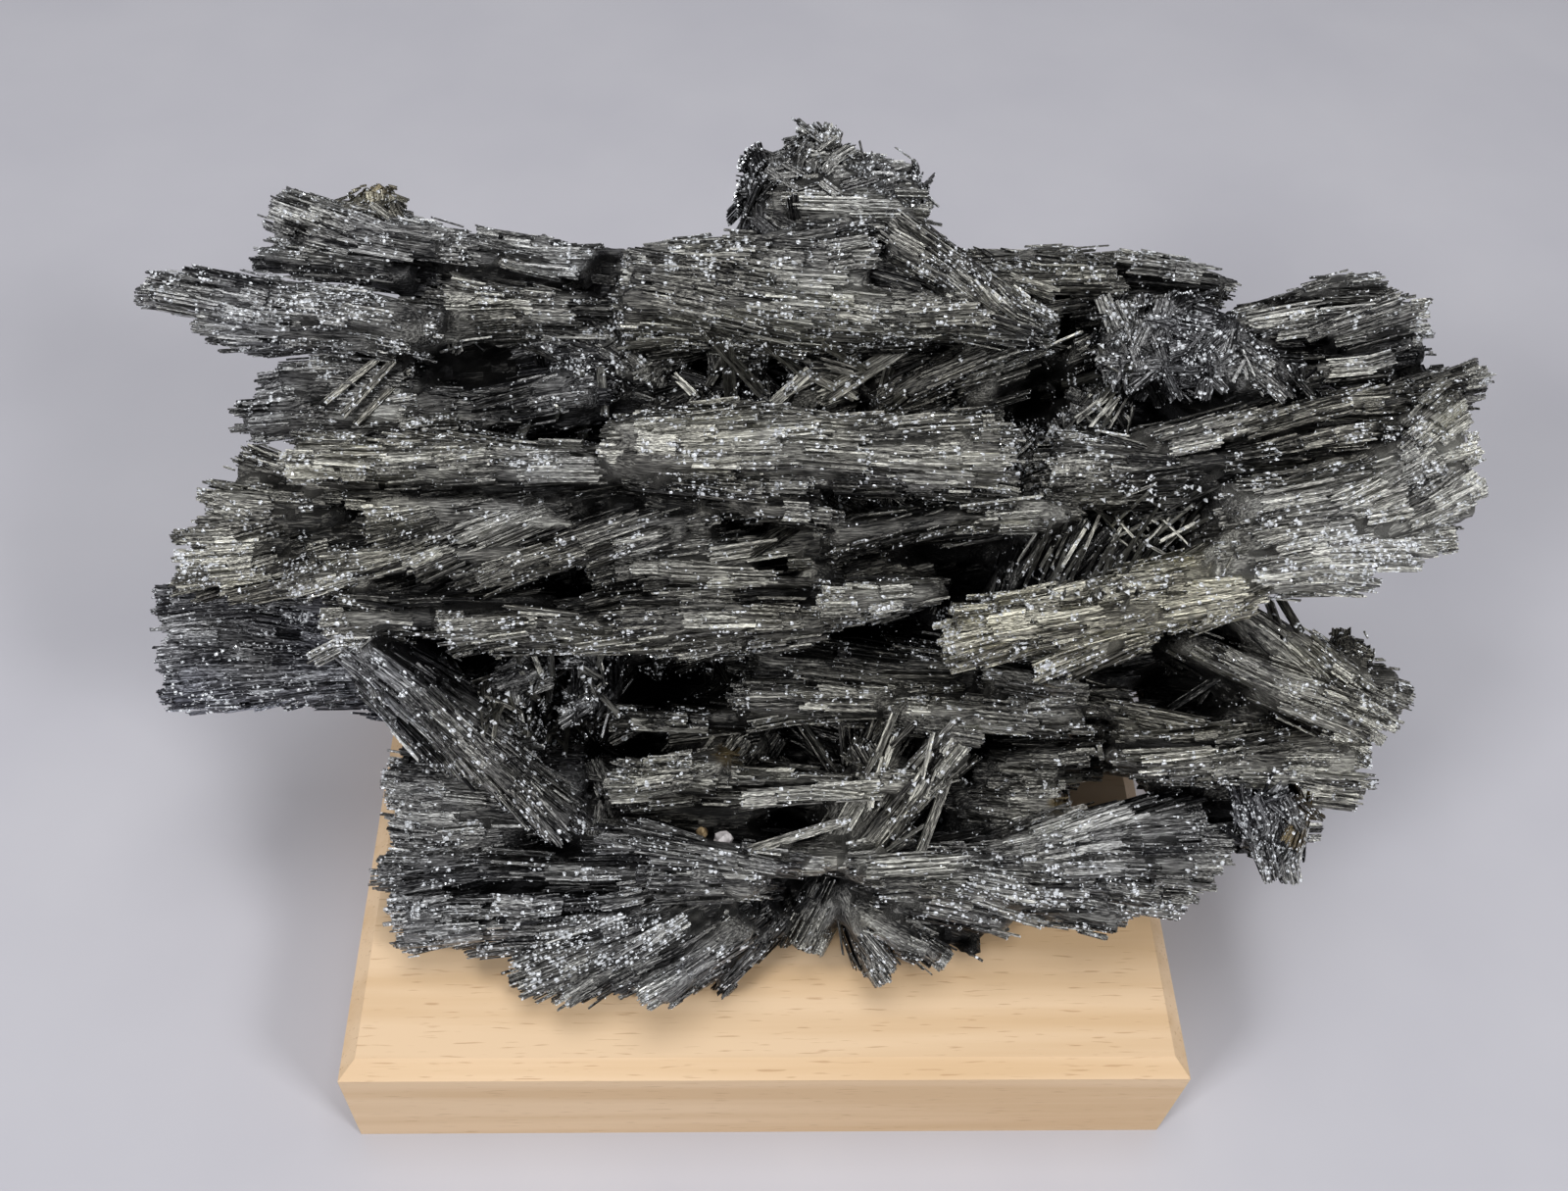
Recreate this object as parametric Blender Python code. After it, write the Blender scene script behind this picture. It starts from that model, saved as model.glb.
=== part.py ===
"""A zinkenite specimen resting on a small dressed wooden block.

The specimen is one intergrown mass: sprays of grey needles that lean back over a lumpy heart.
Each spray is a ragged tapering blade. All of them and the heart are joined in one solid, which is
cut flat where it rests. Metres, +Z up, origin at the middle of the block's underside.
"""

import math
import random

import bmesh
import bpy
from mathutils import Matrix, Vector

MM = 0.001

# The block: a three-quarter-inch board with its upper edges chamfered.
BLOCK_WIDTH = 100
BLOCK_DEPTH = 70
BLOCK_HEIGHT = 19
BLOCK_CHAMFER = 2
REST_GAP = 0.3

# The display face: u runs to the right, v up the slope, w out of it. It leans back like an easel.
FACE_CENTRE = Vector((1, 7, 55))
FACE_LEAN = math.radians(38.8)
FACE_TURN = math.radians(-5)
FACE_ROLL = math.radians(4.7)

# A spray's section, as shares of its width and of its depth below its crown line.
SECTION = ((-0.5, -0.34), (-0.24, 0), (0.28, -0.03), (0.5, -0.4), (0.28, -1), (-0.3, -1))
SHORT_SPRAY = 20
SHORT_STATIONS = (0, 1)
LONG_STATIONS = (0, 0.55, 1)
SIDE_WANDER = 0.07
TIP_SHORTEST = -1.5
TIP_LONGEST = 0.9
TIP_HOLLOW = 1.2

# Sprays on the display face, millimetres:
# root (u, v, w), tip (u, v, w), width at root and tip, depth at root and tip.
FACE_SPRAYS = {
    "upper_left_plates": (
        ((-37.5, 41.5, -7), (-60.5, 45.5, -8), (7, 8.5), (11, 6)),
        ((-18.5, 39.5, -7), (-42.5, 41.5, -8), (7.5, 7), (11, 8)),
        ((-40.5, 31.5, 1), (-75.5, 35.5, -1), (7.5, 2.5), (17, 3)),
        ((-45.5, 29.5, -1), (-69, 31, -2), (4, 2.5), (15, 3)),
        ((-44, 38.5, -5), (-64.5, 40, -6), (4, 2), (8, 3)),
        ((-42, 26, -8), (-64, 26, -9), (5, 4), (10, 5)),
        ((-43, 22, -9), (-67.5, 22, -9), (4.5, 4.5), (9, 5)),
        ((-19, 32.5, -8), (-45, 31, -9), (12, 10.5), (10, 8)),
        ((-22, 25, -5), (-47.5, 23, -9), (8, 5), (13, 7)),
    ),
    "crest": (
        ((-19, 35, 4), (31, 31.5, 3), (12, 3), (22, 6)),
        ((-18, 38, 1), (11, 39, 2), (7.5, 8), (19, 9)),
        ((11, 41.5, 2), (29.5, 32, 2), (9.5, 3), (20, 5)),
        ((-1, 43, -4), (-1.5, 54.5, -7), (6, 5), (14, 6)),
        ((0, 51, -5), (16, 48.5, -5), (8, 4), (9, 6)),
        ((1.5, 47, -5), (4, 56, -7), (6, 3.5), (8, 6)),
        ((-2.5, 45.5, -3), (17, 45, -3), (6.5, 5.5), (12, 8)),
        ((17, 42, -12), (37.5, 41, -14), (4, 2.5), (8, 5)),
        ((22, 38.5, -8), (41, 37.5, -8), (3.5, 3), (10, 6)),
    ),
    "recess_under_crest": (
        ((10, 23, -2), (30.5, 31.5, -2), (4.5, 3), (16, 6)),
        ((0, 23, -8), (22, 31, -8), (4, 4), (10, 6)),
        ((21, 24, -6), (37.5, 30.5, -8), (4, 4), (12, 6)),
        ((-23.5, 27, -8), (-7, 31, -9), (5, 4.5), (10, 6)),
    ),
    "upper_right_fan": (
        ((54.5, 37.5, -8), (38, 41, -9), (3, 3), (9, 6)),
        ((51.5, 34, -3), (71, 36, -2), (2.5, 3), (7, 5)),
        ((50, 31, -3), (75, 32.5, -2), (4, 5), (9, 5)),
        ((53, 28.5, -5), (77.5, 29.5, -5), (4, 3), (8, 4)),
        ((50, 24, -3), (73.5, 28, -3), (3, 2), (9, 4)),
        ((66, 22, -2), (81.5, 25.5, -1), (2.5, 4.5), (6, 5)),
    ),
    "right_fan": (
        ((39.5, 17.5, 4), (78.5, 23.5, 2), (3.5, 3.5), (22, 5)),
        ((42.5, 15, 6), (69.5, 18.5, 5), (4.5, 3), (22, 5)),
        ((47, 13, 5), (70.5, 15, 4), (5, 5), (22, 6)),
        ((63.5, 12, 6), (77, 22, 4), (3, 5.5), (7, 5)),
        ((48.5, 10, 7), (78, 16, 5), (4.5, 5.5), (22, 5)),
        ((47.5, 6.5, 8), (77.5, 11, 6), (4.5, 5), (22, 5)),
        ((46, 4, 9), (74, 6.5, 7), (4.5, 4), (22, 5)),
        ((48, 2, 9), (66, 2.5, 7), (3, 2), (16, 4)),
        ((50.5, 14.5, 4), (28.5, 15, 5), (6.5, 6.5), (18, 7)),
        ((49, 11.5, 2), (27.5, 11, 3), (2.5, 2.5), (18, 6)),
    ),
    "diagonal_blade": (
        ((53.5, 1, 9), (17.5, -4.5, 13), (4.5, 6.5), (12, 9)),
        ((48.5, 4, 8), (22, -2, 11), (3, 2.5), (20, 6)),
        ((42, -3.5, 8), (29, -8, 8), (4, 2.5), (20, 5)),
    ),
    "middle": (
        ((-21, 16.5, 12), (25.5, 15, 14), (9.5, 7.5), (26, 9)),
        ((5, 17.5, 13), (23, 18.5, 13), (4, 4), (22, 7)),
        ((33, 9, 8), (3.5, 7, 9), (4, 3), (22, 6)),
        ((-19, 12.5, 10), (5.5, 10, 11), (3, 3.5), (22, 7)),
        ((-19, 14.5, 9), (-55.5, 15, 9), (6, 6), (24, 9)),
        ((-7.5, 9, 8), (-55.5, 2, 10), (5, 5.5), (24, 9)),
        ((-21.5, 10, 7), (-47.5, 9.5, 8), (4.5, 4.5), (22, 12)),
        ((7.5, 6.5, 4), (-22, 3.5, 6), (6.5, 6.5), (22, 14)),
        ((6.5, 3.5, 6), (-17.5, 2, 7), (4.5, 4.5), (22, 14)),
        ((-48, 9.5, 5), (-67, 11.5, 3), (5, 3), (20, 5)),
        ((-48, 8, 5), (-69.5, 7.5, 3), (4.5, 3.5), (18, 5)),
        ((-48, 5, 5), (-71, 1.5, 2), (4.5, 4), (18, 5)),
        ((-48, 12, 3), (-64, 16, 1), (4.5, 3), (16, 5)),
        ((-48, 2, 4), (-65, 1, 2), (3.5, 2.5), (16, 5)),
        ((5.5, -2, 7), (-39.5, -3.5, 9), (5, 4.5), (24, 10)),
        ((-25.5, -1.5, 9), (-51, -2, 10), (5.5, 4.5), (22, 9)),
        ((20, 1, 5), (3, -0.5, 9), (2.5, 4.5), (22, 8)),
        ((-3.5, -5, 6), (-34.5, -5, 7), (2.5, 2.5), (22, 6)),
        ((24.5, 5.5, -7), (4.5, 2, -6), (5.5, 5), (11, 8)),
    ),
    "left_wing": (
        ((-46, -7.5, -5), (-76, -6.5, -7), (9, 15.5), (14, 5)),
        ((-50, -1.5, -4), (-76.5, 0, -6), (4.5, 3.5), (9, 4)),
        ((-42, -11, -8), (-53, -12.5, -9), (9.5, 3.5), (10, 6)),
    ),
    "left_diagonal": (
        ((-49.5, -4.5, 9), (-24, -26.5, 4), (5.5, 6), (22, 10)),
        ((-49, -9, 5), (-36.5, -18, 3), (3.5, 4.5), (16, 8)),
        ((-47, -5.5, 5), (-31, -17, 3), (6.5, 5.5), (22, 10)),
        ((-32, -5, -2), (-34.5, -21, -4), (10, 8), (16, 8)),
        ((-23, -5, -3), (-23, -15.5, -4), (6, 5), (15, 7)),
    ),
    "lower_left_fan": (
        ((-24.5, -23.5, -6), (-49, -23, -9), (10, 9), (12, 6)),
        ((-30.5, -28.5, -7), (-48.5, -28.5, -9), (4, 4), (11, 5)),
        ((-30, -31, -8), (-47.5, -30.5, -9), (3.5, 2), (10, 4)),
        ((-13.5, -31.5, -2), (-49.5, -33, -4), (6.5, 4), (16, 5)),
        ((-12.5, -33.5, -1), (-47.5, -36.5, -3), (5.5, 2.5), (17, 5)),
        ((-9, -35, 0), (-46, -40, -1), (6, 4.5), (18, 5)),
        ((-6.5, -36, 1), (-32.5, -45, 0), (6, 5), (19, 6)),
        ((-7, -37, 0), (-26, -46.5, -1), (5, 3), (18, 5)),
        ((-4.5, -36.5, 1), (-21, -46, 1), (6, 4), (19, 5)),
        ((-3.5, -37, 3), (-16, -46.5, 3), (5.5, 3.5), (21, 5)),
        ((-1, -37.5, -1), (-10, -46.5, -2), (5, 3.5), (17, 5)),
        ((3.5, -31.5, 3), (-23, -27, 5), (3, 2), (21, 5)),
        ((0, -33, 3), (-16.5, -31.5, 4), (6, 4), (21, 6)),
    ),
    "foot": (
        ((5.5, -34, -2), (11.5, -46, -3), (3, 3), (16, 5)),
        ((5.5, -33.5, -3), (1, -42.5, -4), (5, 5.5), (15, 6)),
        ((8, -34, -2), (19, -43.5, -5), (3.5, 4.5), (16, 6)),
        ((8, -36, 0), (16, -41, 0), (4, 3.5), (18, 5)),
        ((11.5, -36, -4), (24.5, -41.5, -6), (4.5, 4), (14, 5)),
    ),
    "lower_right_fan": (
        ((6.5, -31, 3), (50, -31, 1), (3.5, 4.5), (21, 5)),
        ((6.5, -32, 2), (47, -34.5, 0), (3, 3.5), (20, 5)),
        ((8, -33.5, 0), (40, -37.5, -1), (3, 3), (18, 5)),
        ((10, -35, -1), (27.5, -38.5, -2), (3, 2.5), (17, 5)),
        ((14.5, -30, 1), (48.5, -24.5, 0), (3, 4), (14, 5)),
        ((18, -29.5, 1), (53.5, -28.5, 0), (3.5, 4), (17, 5)),
        ((36.5, -29, -3), (61, -28.5, -4), (3.5, 3), (12, 5)),
    ),
    "lower_right_bundle": (
        ((45, -4.5, 3), (69.5, -15, 1), (3.5, 8.5), (18, 7)),
        ((50, 0, 1), (68, -12, 0), (3.5, 6.5), (12, 6)),
        ((63, -11, -3), (74, -12.5, -4), (6.5, 7.5), (8, 6)),
        ((62, -9.5, -5), (73, -8.5, -6), (4, 3), (6, 4)),
        ((62, -10.5, -6), (70, -6.5, -9), (4, 3), (6, 5)),
        ((37, -17.5, 3), (67.5, -18.5, 1), (6, 5.5), (18, 6)),
        ((49, -22, -3), (69, -22, -4), (5, 4), (13, 6)),
        ((50, -26, -6), (63.5, -28, -6), (5, 3), (8, 5)),
    ),
    "lower_middle": (
        ((14.5, -12, -1), (-6, -12, 0), (4.5, 5.5), (17, 9)),
        ((24, -9, -4), (-5, -7, -4), (4.5, 4), (14, 8)),
        ((-3.5, -15, -3), (-22, -14.5, -3), (3, 2), (15, 5)),
        ((11.5, -13.5, 2), (35.5, -13.5, 2), (4, 4), (20, 8)),
        ((22, -9, 4), (34, -10, 4), (3, 4), (22, 8)),
        ((33.5, -11.5, -2), (50.5, -16, -3), (4, 2.5), (16, 6)),
        ((19, -22, 1), (-21.5, -22.5, 0), (3.5, 4.5), (19, 10)),
        ((-6, -19.5, 2), (-18, -21.5, 2), (3, 2), (20, 5)),
        ((-1, -27, -6), (-22, -27, -7), (5, 4), (12, 7)),
        ((9, -31, 0), (-2, -31, 1), (4, 3.5), (18, 6)),
        ((3.5, -30.5, -3), (13.5, -15, -2), (5.5, 4), (15, 8)),
        ((8, -30.5, 0), (17, -19.5, 0), (5, 4.5), (18, 8)),
        ((16, -22, 1), (20.5, -15.5, 1), (4.5, 5), (19, 8)),
        ((18.5, -24, -3), (33.5, -24.5, -4), (5, 5), (15, 7)),
        ((22, -19.5, -4), (37, -19, -2), (4.5, 4), (14, 6)),
        ((-4.5, -13.5, -9), (-12, -23, -9), (9.5, 9.5), (9, 7)),
        ((44.5, -13.5, -12), (57, -14, -13), (8.5, 8.5), (7, 7)),
    ),
    "right_recess": (
        ((24, -1, 3), (29.5, 10, 1), (3.5, 3.5), (21, 8)),
        ((28.5, 0, 1), (36, 9.5, -1), (3.5, 4), (19, 8)),
        ((33.5, 1, -2), (46, 11, -4), (3.5, 4.5), (16, 8)),
        ((50.5, 5.5, -8), (36.5, 8, -9), (9, 9), (8, 8)),
        ((51, -6, -11), (27, -9.5, -12), (8, 10), (11, 11)),
        ((45, 20, -9), (31, 23.5, -10), (9, 10), (9, 8)),
    ),
}

# Bundles that point out of the face, so that their broken ends show: foot, end, width, height.
END_ON_BUNDLES = (
    ((52, 31, -20), (47.5, 29, 0), 13, 13),
    ((43, 33.5, -16), (41, 31, -3), 11, 10),
    ((57, 27, -14), (55, 25.5, 0), 7.5, 8),
    ((59, -26, -12), (55.5, -25.5, 2), 7.5, 8),
)
CRUST_KNOBS = (((-51, 48.5, -11), 2.6), ((-13, 42.5, -6), 2.4))

# The heart behind the sprays: lumps by centre and half sizes, x, y, z.
HEART_LUMPS = (
    ((0, 28, 38), (48, 19, 18)),
    ((0, 6, 24), (40, 22, 8)),
    ((3, 43, 56), (42, 12, 18)),
    ((40, 26, 50), (19, 13, 13)),
    ((-38, 24, 44), (18, 14, 12)),
)
HEART_SUBDIVISIONS = 2
KNOB_SUBDIVISIONS = 1
LUMP_ROUGHNESS = 0.06
MOST_TRIANGLES = 9200

# Rows of sprays across the back: height, from x, to x, y of the surface.
BACK_ROWS = (
    (26, -36, 38, 42),
    (36, -44, 46, 46),
    (46, -48, 52, 49),
    (56, -42, 54, 50),
    (65, -34, 42, 49),
)
BACK_PITCH = 24
BACK_OVERLAP = 7
BACK_ROOT_IN = 3
BACK_TIP_OUT = 1
BACK_ROOT_STRAY = 2
BACK_TIP_STRAY = 4
BACK_WIDTH = 11.5
BACK_TIP_WIDTHS = (0.6, 0.9)
BACK_DEPTHS = (12, 7)
BACK_OUTWARD = Vector((0, 1, -0.15))

# Bundles that stick out of the two flanks: y and z of each axis, and how far out it ends.
FLANK_BUNDLES = ((14, 31, 43), (34, 34, 46), (22, 46, 54), (40, 50, 50), (42, 62, 46))
FLANK_ROOT_SHARE = 0.4
FLANK_STRAY = 3
FLANK_WIDTHS = (14, 11)
FLANK_DEPTHS = (12, 9)
FLANK_OUTWARD = Vector((0, 0.3, 1))

# The slab that cuts the specimen flat: its width and depth, and its thickness.
CUTTER_SPAN = 300
CUTTER_THICKNESS = 60


def face_axes():
    """The display face's axes as the columns of a matrix."""
    turn = Matrix.Rotation(FACE_TURN, 3, "Z")
    lean = Matrix.Rotation(FACE_LEAN, 3, "X")
    roll = Matrix.Rotation(FACE_ROLL, 3, "Z")
    return turn @ lean @ roll


FACE = face_axes()


def on_face(point):
    """A point of the display face's own frame, in the object's."""
    return FACE_CENTRE + FACE @ Vector(point)


def clear_scene():
    for obj in list(bpy.data.objects):
        bpy.data.objects.remove(obj)


def new_collection(name):
    collection = bpy.data.collections.new(name)
    bpy.context.scene.collection.children.link(collection)
    return collection


def new_material(name, colour, roughness, metallic):
    material = bpy.data.materials.new(name)
    material.use_nodes = True
    shader = material.node_tree.nodes["Principled BSDF"]
    shader.inputs["Base Color"].default_value = (*colour, 1)
    shader.inputs["Roughness"].default_value = roughness
    shader.inputs["Metallic"].default_value = metallic
    return material


def object_from(bm, name, collection):
    """An object with this mesh, whose millimetres become metres."""
    bmesh.ops.scale(bm, vec=(MM, MM, MM), verts=bm.verts)
    bmesh.ops.recalc_face_normals(bm, faces=bm.faces)
    mesh = bpy.data.meshes.new(name)
    bm.to_mesh(mesh)
    bm.free()
    obj = bpy.data.objects.new(name, mesh)
    collection.objects.link(obj)
    return obj


def loft(bm, rings, ends):
    """Joins the rings of points by quads and closes each end with a fan to its middle point."""
    loops = [[bm.verts.new(point) for point in ring] for ring in rings]
    count = len(loops[0])
    for lower, upper in zip(loops, loops[1:]):
        for i in range(count):
            j = (i + 1) % count
            bm.faces.new((lower[i], lower[j], upper[j], upper[i]))
    for loop, end in ((loops[0], ends[0]), (loops[-1], ends[1])):
        middle = bm.verts.new(end)
        for i in range(count):
            bm.faces.new((loop[i], loop[(i + 1) % count], middle))


def spray(name, root, tip, width, depth, outward, collection, lift=0):
    """A ragged tapering blade. Its crown line runs from root to tip, raised by a share of its depth."""
    chance = random.Random(name)
    axis = tip - root
    length = axis.length
    axis.normalize()
    across = outward.cross(axis).normalized()
    out = axis.cross(across).normalized()
    rings = []
    for along in SHORT_STATIONS if length < SHORT_SPRAY else LONG_STATIONS:
        wide = width[0] + (width[1] - width[0]) * along
        deep = depth[0] + (depth[1] - depth[0]) * along
        centre = root + axis * length * along + out * deep * lift
        at_tip = along == 1
        ring = []
        for side, drop in SECTION:
            stray = chance.uniform(-SIDE_WANDER, SIDE_WANDER)
            sink = chance.uniform(-SIDE_WANDER, SIDE_WANDER)
            reach = chance.uniform(TIP_SHORTEST, TIP_LONGEST) if at_tip else 0
            point = centre + across * wide * (side + stray) + out * deep * (drop + sink)
            ring.append(point + axis * reach)
        rings.append(ring)
    middles = [sum(ring, Vector()) / len(ring) for ring in (rings[0], rings[-1])]
    middles[1] -= axis * TIP_HOLLOW
    bm = bmesh.new()
    loft(bm, rings, middles)
    bmesh.ops.triangulate(bm, faces=bm.faces)
    return object_from(bm, name, collection)


def face_sprays(collection):
    outward = FACE @ Vector((0, 0, 1))
    for group, rows in FACE_SPRAYS.items():
        for number, (root, tip, width, depth) in enumerate(rows):
            name = f"{group}_{number}"
            spray(name, on_face(root), on_face(tip), width, depth, outward, collection)


def end_on_bundles(collection):
    outward = FACE @ Vector((0, 1, 0))
    for number, (foot, end, wide, high) in enumerate(END_ON_BUNDLES):
        name = f"end_on_{number}"
        sizes = ((wide, wide), (high, high))
        spray(name, on_face(foot), on_face(end), *sizes, outward, collection, lift=0.5)


def back_sprays(collection):
    """Rows of blades across the back, each row's blades pointing the other way from the last's."""
    chance = random.Random("back")
    for row, (height, low, high, back) in enumerate(BACK_ROWS):
        count = round((high - low) / BACK_PITCH)
        pitch = (high - low) / count
        for number in range(count):
            left = low + number * pitch - BACK_OVERLAP
            right = low + (number + 1) * pitch + BACK_OVERLAP
            if row % 2:
                left, right = right, left
            root_stray = chance.uniform(-BACK_ROOT_STRAY, BACK_ROOT_STRAY)
            tip_stray = chance.uniform(-BACK_TIP_STRAY, BACK_TIP_STRAY)
            root = Vector((left, back - BACK_ROOT_IN, height + root_stray))
            tip = Vector((right, back + BACK_TIP_OUT, height + tip_stray))
            width = (BACK_WIDTH, chance.uniform(*BACK_TIP_WIDTHS) * BACK_WIDTH)
            name = f"back_{row}_{number}"
            spray(name, root, tip, width, BACK_DEPTHS, BACK_OUTWARD, collection)


def flank_bundles(collection):
    chance = random.Random("flank")
    for side in (-1, 1):
        for number, (y, z, reach) in enumerate(FLANK_BUNDLES):
            stray = [chance.uniform(-FLANK_STRAY, FLANK_STRAY) for _ in range(2)]
            root = Vector((side * reach * FLANK_ROOT_SHARE, y, z))
            tip = Vector((side * reach, y + stray[0], z + stray[1]))
            name = f"flank_{number}_{'left' if side < 0 else 'right'}"
            sizes = (FLANK_WIDTHS, FLANK_DEPTHS)
            spray(name, root, tip, *sizes, FLANK_OUTWARD, collection, lift=0.5)


def lump(name, centre, half_sizes, subdivisions, collection):
    """A rough boulder form: a sphere of triangles, stretched and jogged."""
    chance = random.Random(name)
    bm = bmesh.new()
    bmesh.ops.create_icosphere(bm, subdivisions=subdivisions, radius=1)
    for vert in bm.verts:
        vert.co *= 1 + chance.uniform(-LUMP_ROUGHNESS, LUMP_ROUGHNESS)
    bmesh.ops.scale(bm, vec=half_sizes, verts=bm.verts)
    bmesh.ops.translate(bm, vec=centre, verts=bm.verts)
    return object_from(bm, name, collection)


def heart(collection):
    for number, (centre, half_sizes) in enumerate(HEART_LUMPS):
        lump(f"heart_{number}", centre, half_sizes, HEART_SUBDIVISIONS, collection)


def crust_knobs(collection):
    for number, (centre, radius) in enumerate(CRUST_KNOBS):
        lump(f"crust_{number}", on_face(centre), (radius,) * 3, KNOB_SUBDIVISIONS, collection)


def resting_cutter(collection):
    """A slab whose top is just above the block, to cut the specimen flat where it rests."""
    bm = bmesh.new()
    bmesh.ops.create_cube(bm, size=1)
    bmesh.ops.scale(bm, vec=(CUTTER_SPAN, CUTTER_SPAN, CUTTER_THICKNESS), verts=bm.verts)
    height = BLOCK_HEIGHT + REST_GAP - CUTTER_THICKNESS / 2
    bmesh.ops.translate(bm, vec=(0, 0, height), verts=bm.verts)
    cutter = object_from(bm, "resting_cutter", collection)
    cutter.hide_render = True
    cutter.display_type = "WIRE"
    return cutter


def signed_volume(faces):
    total = 0
    for face in faces:
        a, b, c = (vert.co for vert in face.verts)
        total += a.dot(b.cross(c)) / 6
    return total


def islands(bm):
    """The mesh's separate shells, each as a list of faces."""
    left = set(bm.faces)
    while left:
        shell = [left.pop()]
        for face in shell:
            for edge in face.edges:
                for other in edge.link_faces:
                    if other in left:
                        left.remove(other)
                        shell.append(other)
        yield shell


def without_pockets(mesh):
    """Fills the hollows that no opening reaches, and drops crumbs: only the outer shell stays."""
    bm = bmesh.new()
    bm.from_mesh(mesh)
    bmesh.ops.triangulate(bm, faces=bm.faces)
    shells = sorted(islands(bm), key=signed_volume)
    spare = [face for shell in shells[:-1] for face in shell]
    bmesh.ops.delete(bm, geom=spare, context="FACES")
    bm.to_mesh(mesh)
    bm.free()


def zinkenite_cluster(parts, cutters):
    """Every spray and lump joined in one solid, cut flat where it rests."""
    pieces = bpy.data.collections.new("sprays")
    cutters.children.link(pieces)
    face_sprays(pieces)
    end_on_bundles(pieces)
    back_sprays(pieces)
    flank_bundles(pieces)
    heart(pieces)
    crust_knobs(pieces)
    base = pieces.objects["heart_0"]
    pieces.objects.unlink(base)
    cutters.objects.link(base)
    join = base.modifiers.new("join", "BOOLEAN")
    join.operation = "UNION"
    join.operand_type = "COLLECTION"
    join.collection = pieces
    rest = base.modifiers.new("rest", "BOOLEAN")
    rest.operation = "DIFFERENCE"
    rest.object = resting_cutter(cutters)
    graph = bpy.context.evaluated_depsgraph_get()
    mesh = bpy.data.meshes.new_from_object(base.evaluated_get(graph))
    mesh.name = "zinkenite_cluster"
    without_pockets(mesh)
    for piece in [base, *pieces.objects]:
        bpy.data.objects.remove(piece)
    bpy.data.collections.remove(pieces)
    mesh.materials.clear()
    mesh.materials.append(new_material("zinkenite", (0.09, 0.09, 0.085), 0.35, 0.9))
    cluster = bpy.data.objects.new("zinkenite_cluster", mesh)
    parts.objects.link(cluster)
    thin = cluster.modifiers.new("thin_out", "DECIMATE")
    thin.ratio = min(1, MOST_TRIANGLES / len(mesh.polygons))


def wooden_block(parts):
    """A board with a chamfer round its upper edges."""
    bm = bmesh.new()
    bmesh.ops.create_cube(bm, size=1)
    bmesh.ops.scale(bm, vec=(BLOCK_WIDTH, BLOCK_DEPTH, BLOCK_HEIGHT), verts=bm.verts)
    bmesh.ops.translate(bm, vec=(0, 0, BLOCK_HEIGHT / 2), verts=bm.verts)
    upper = [edge for edge in bm.edges if all(vert.co.z > BLOCK_HEIGHT / 2 for vert in edge.verts)]
    bmesh.ops.bevel(bm, geom=upper, offset=BLOCK_CHAMFER, segments=1, affect="EDGES")
    block = object_from(bm, "wooden_block", parts)
    block.data.materials.append(new_material("planed_hardwood", (0.76, 0.58, 0.36), 0.55, 0))


def main():
    clear_scene()
    parts = new_collection("zinkenite_specimen")
    cutters = new_collection("cutters")
    zinkenite_cluster(parts, cutters)
    wooden_block(parts)


main()
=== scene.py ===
"""Looks of a zinkenite specimen on its small wooden block.

The specimen is a felted mass of needles. A dark ribbed core gives it its body. Sheaves of fine
striated laths cover the core, single laths cross its hollows, and crumbs lie where needles broke.
The crumbs, some lath ends and scattered specks carry a painted glint of flat white, and closed
places and hollows are painted darker as painted shade. Millimetres in the tables and metres in
the meshes, +Z up, origin at the middle of the block's underside.
"""

import math
import random
from collections import namedtuple

import bmesh
import bpy
import numpy as np
from bpy.props import FloatProperty, FloatVectorProperty, PointerProperty
from mathutils import Matrix, Vector, noise
from mathutils.bvhtree import BVHTree
from mathutils.kdtree import KDTree


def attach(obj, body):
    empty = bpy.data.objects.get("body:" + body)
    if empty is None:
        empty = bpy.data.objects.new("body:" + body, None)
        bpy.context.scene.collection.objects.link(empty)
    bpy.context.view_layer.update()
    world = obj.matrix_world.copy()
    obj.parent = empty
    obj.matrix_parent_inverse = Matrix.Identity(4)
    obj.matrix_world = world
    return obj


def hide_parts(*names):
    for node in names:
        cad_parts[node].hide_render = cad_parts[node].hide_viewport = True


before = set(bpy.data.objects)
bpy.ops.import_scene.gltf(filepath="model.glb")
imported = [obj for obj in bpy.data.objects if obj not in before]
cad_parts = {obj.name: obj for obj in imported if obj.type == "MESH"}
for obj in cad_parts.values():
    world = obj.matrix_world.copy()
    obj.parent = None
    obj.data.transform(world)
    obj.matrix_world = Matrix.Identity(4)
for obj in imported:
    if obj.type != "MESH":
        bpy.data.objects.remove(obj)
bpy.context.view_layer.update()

bl_info = {
    "name": "Zinkenite specimen",
    "version": (1, 0, 0),
    "blender": (4, 5, 0),
    "location": "3D View > Sidebar > Specimen",
    "description": "Grows the needles of a zinkenite specimen and finishes its block",
    "category": "Object",
}

MM = 0.001
BLOCK = "wooden_block"
CLUSTER = "zinkenite_cluster"

# The display face: u runs to the right, v up the slope, w out of it. It leans back like an easel.
FACE_CENTRE = np.array((1, 7, 55))
FACE_LEAN = math.radians(38.8)
FACE_TURN = math.radians(-5)
FACE_ROLL = math.radians(4.7)

# Where the specimen is seen from, which way, and through what lens, millimetres.
EYE = np.array((-9.227, -103.609, 193.616))
EYE_RIGHT = Vector((0.99838, -0.02361, 0.05185))
EYE_FORWARD = Vector((0.05524, 0.62388, -0.77957))
LENS = 35.49
SENSOR = 36

# A spray's section, as shares of its width and of its depth below its crown line.
SECTION = ((-0.5, -0.34), (-0.24, 0), (0.28, -0.03), (0.5, -0.4), (0.28, -1), (-0.3, -1))

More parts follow.
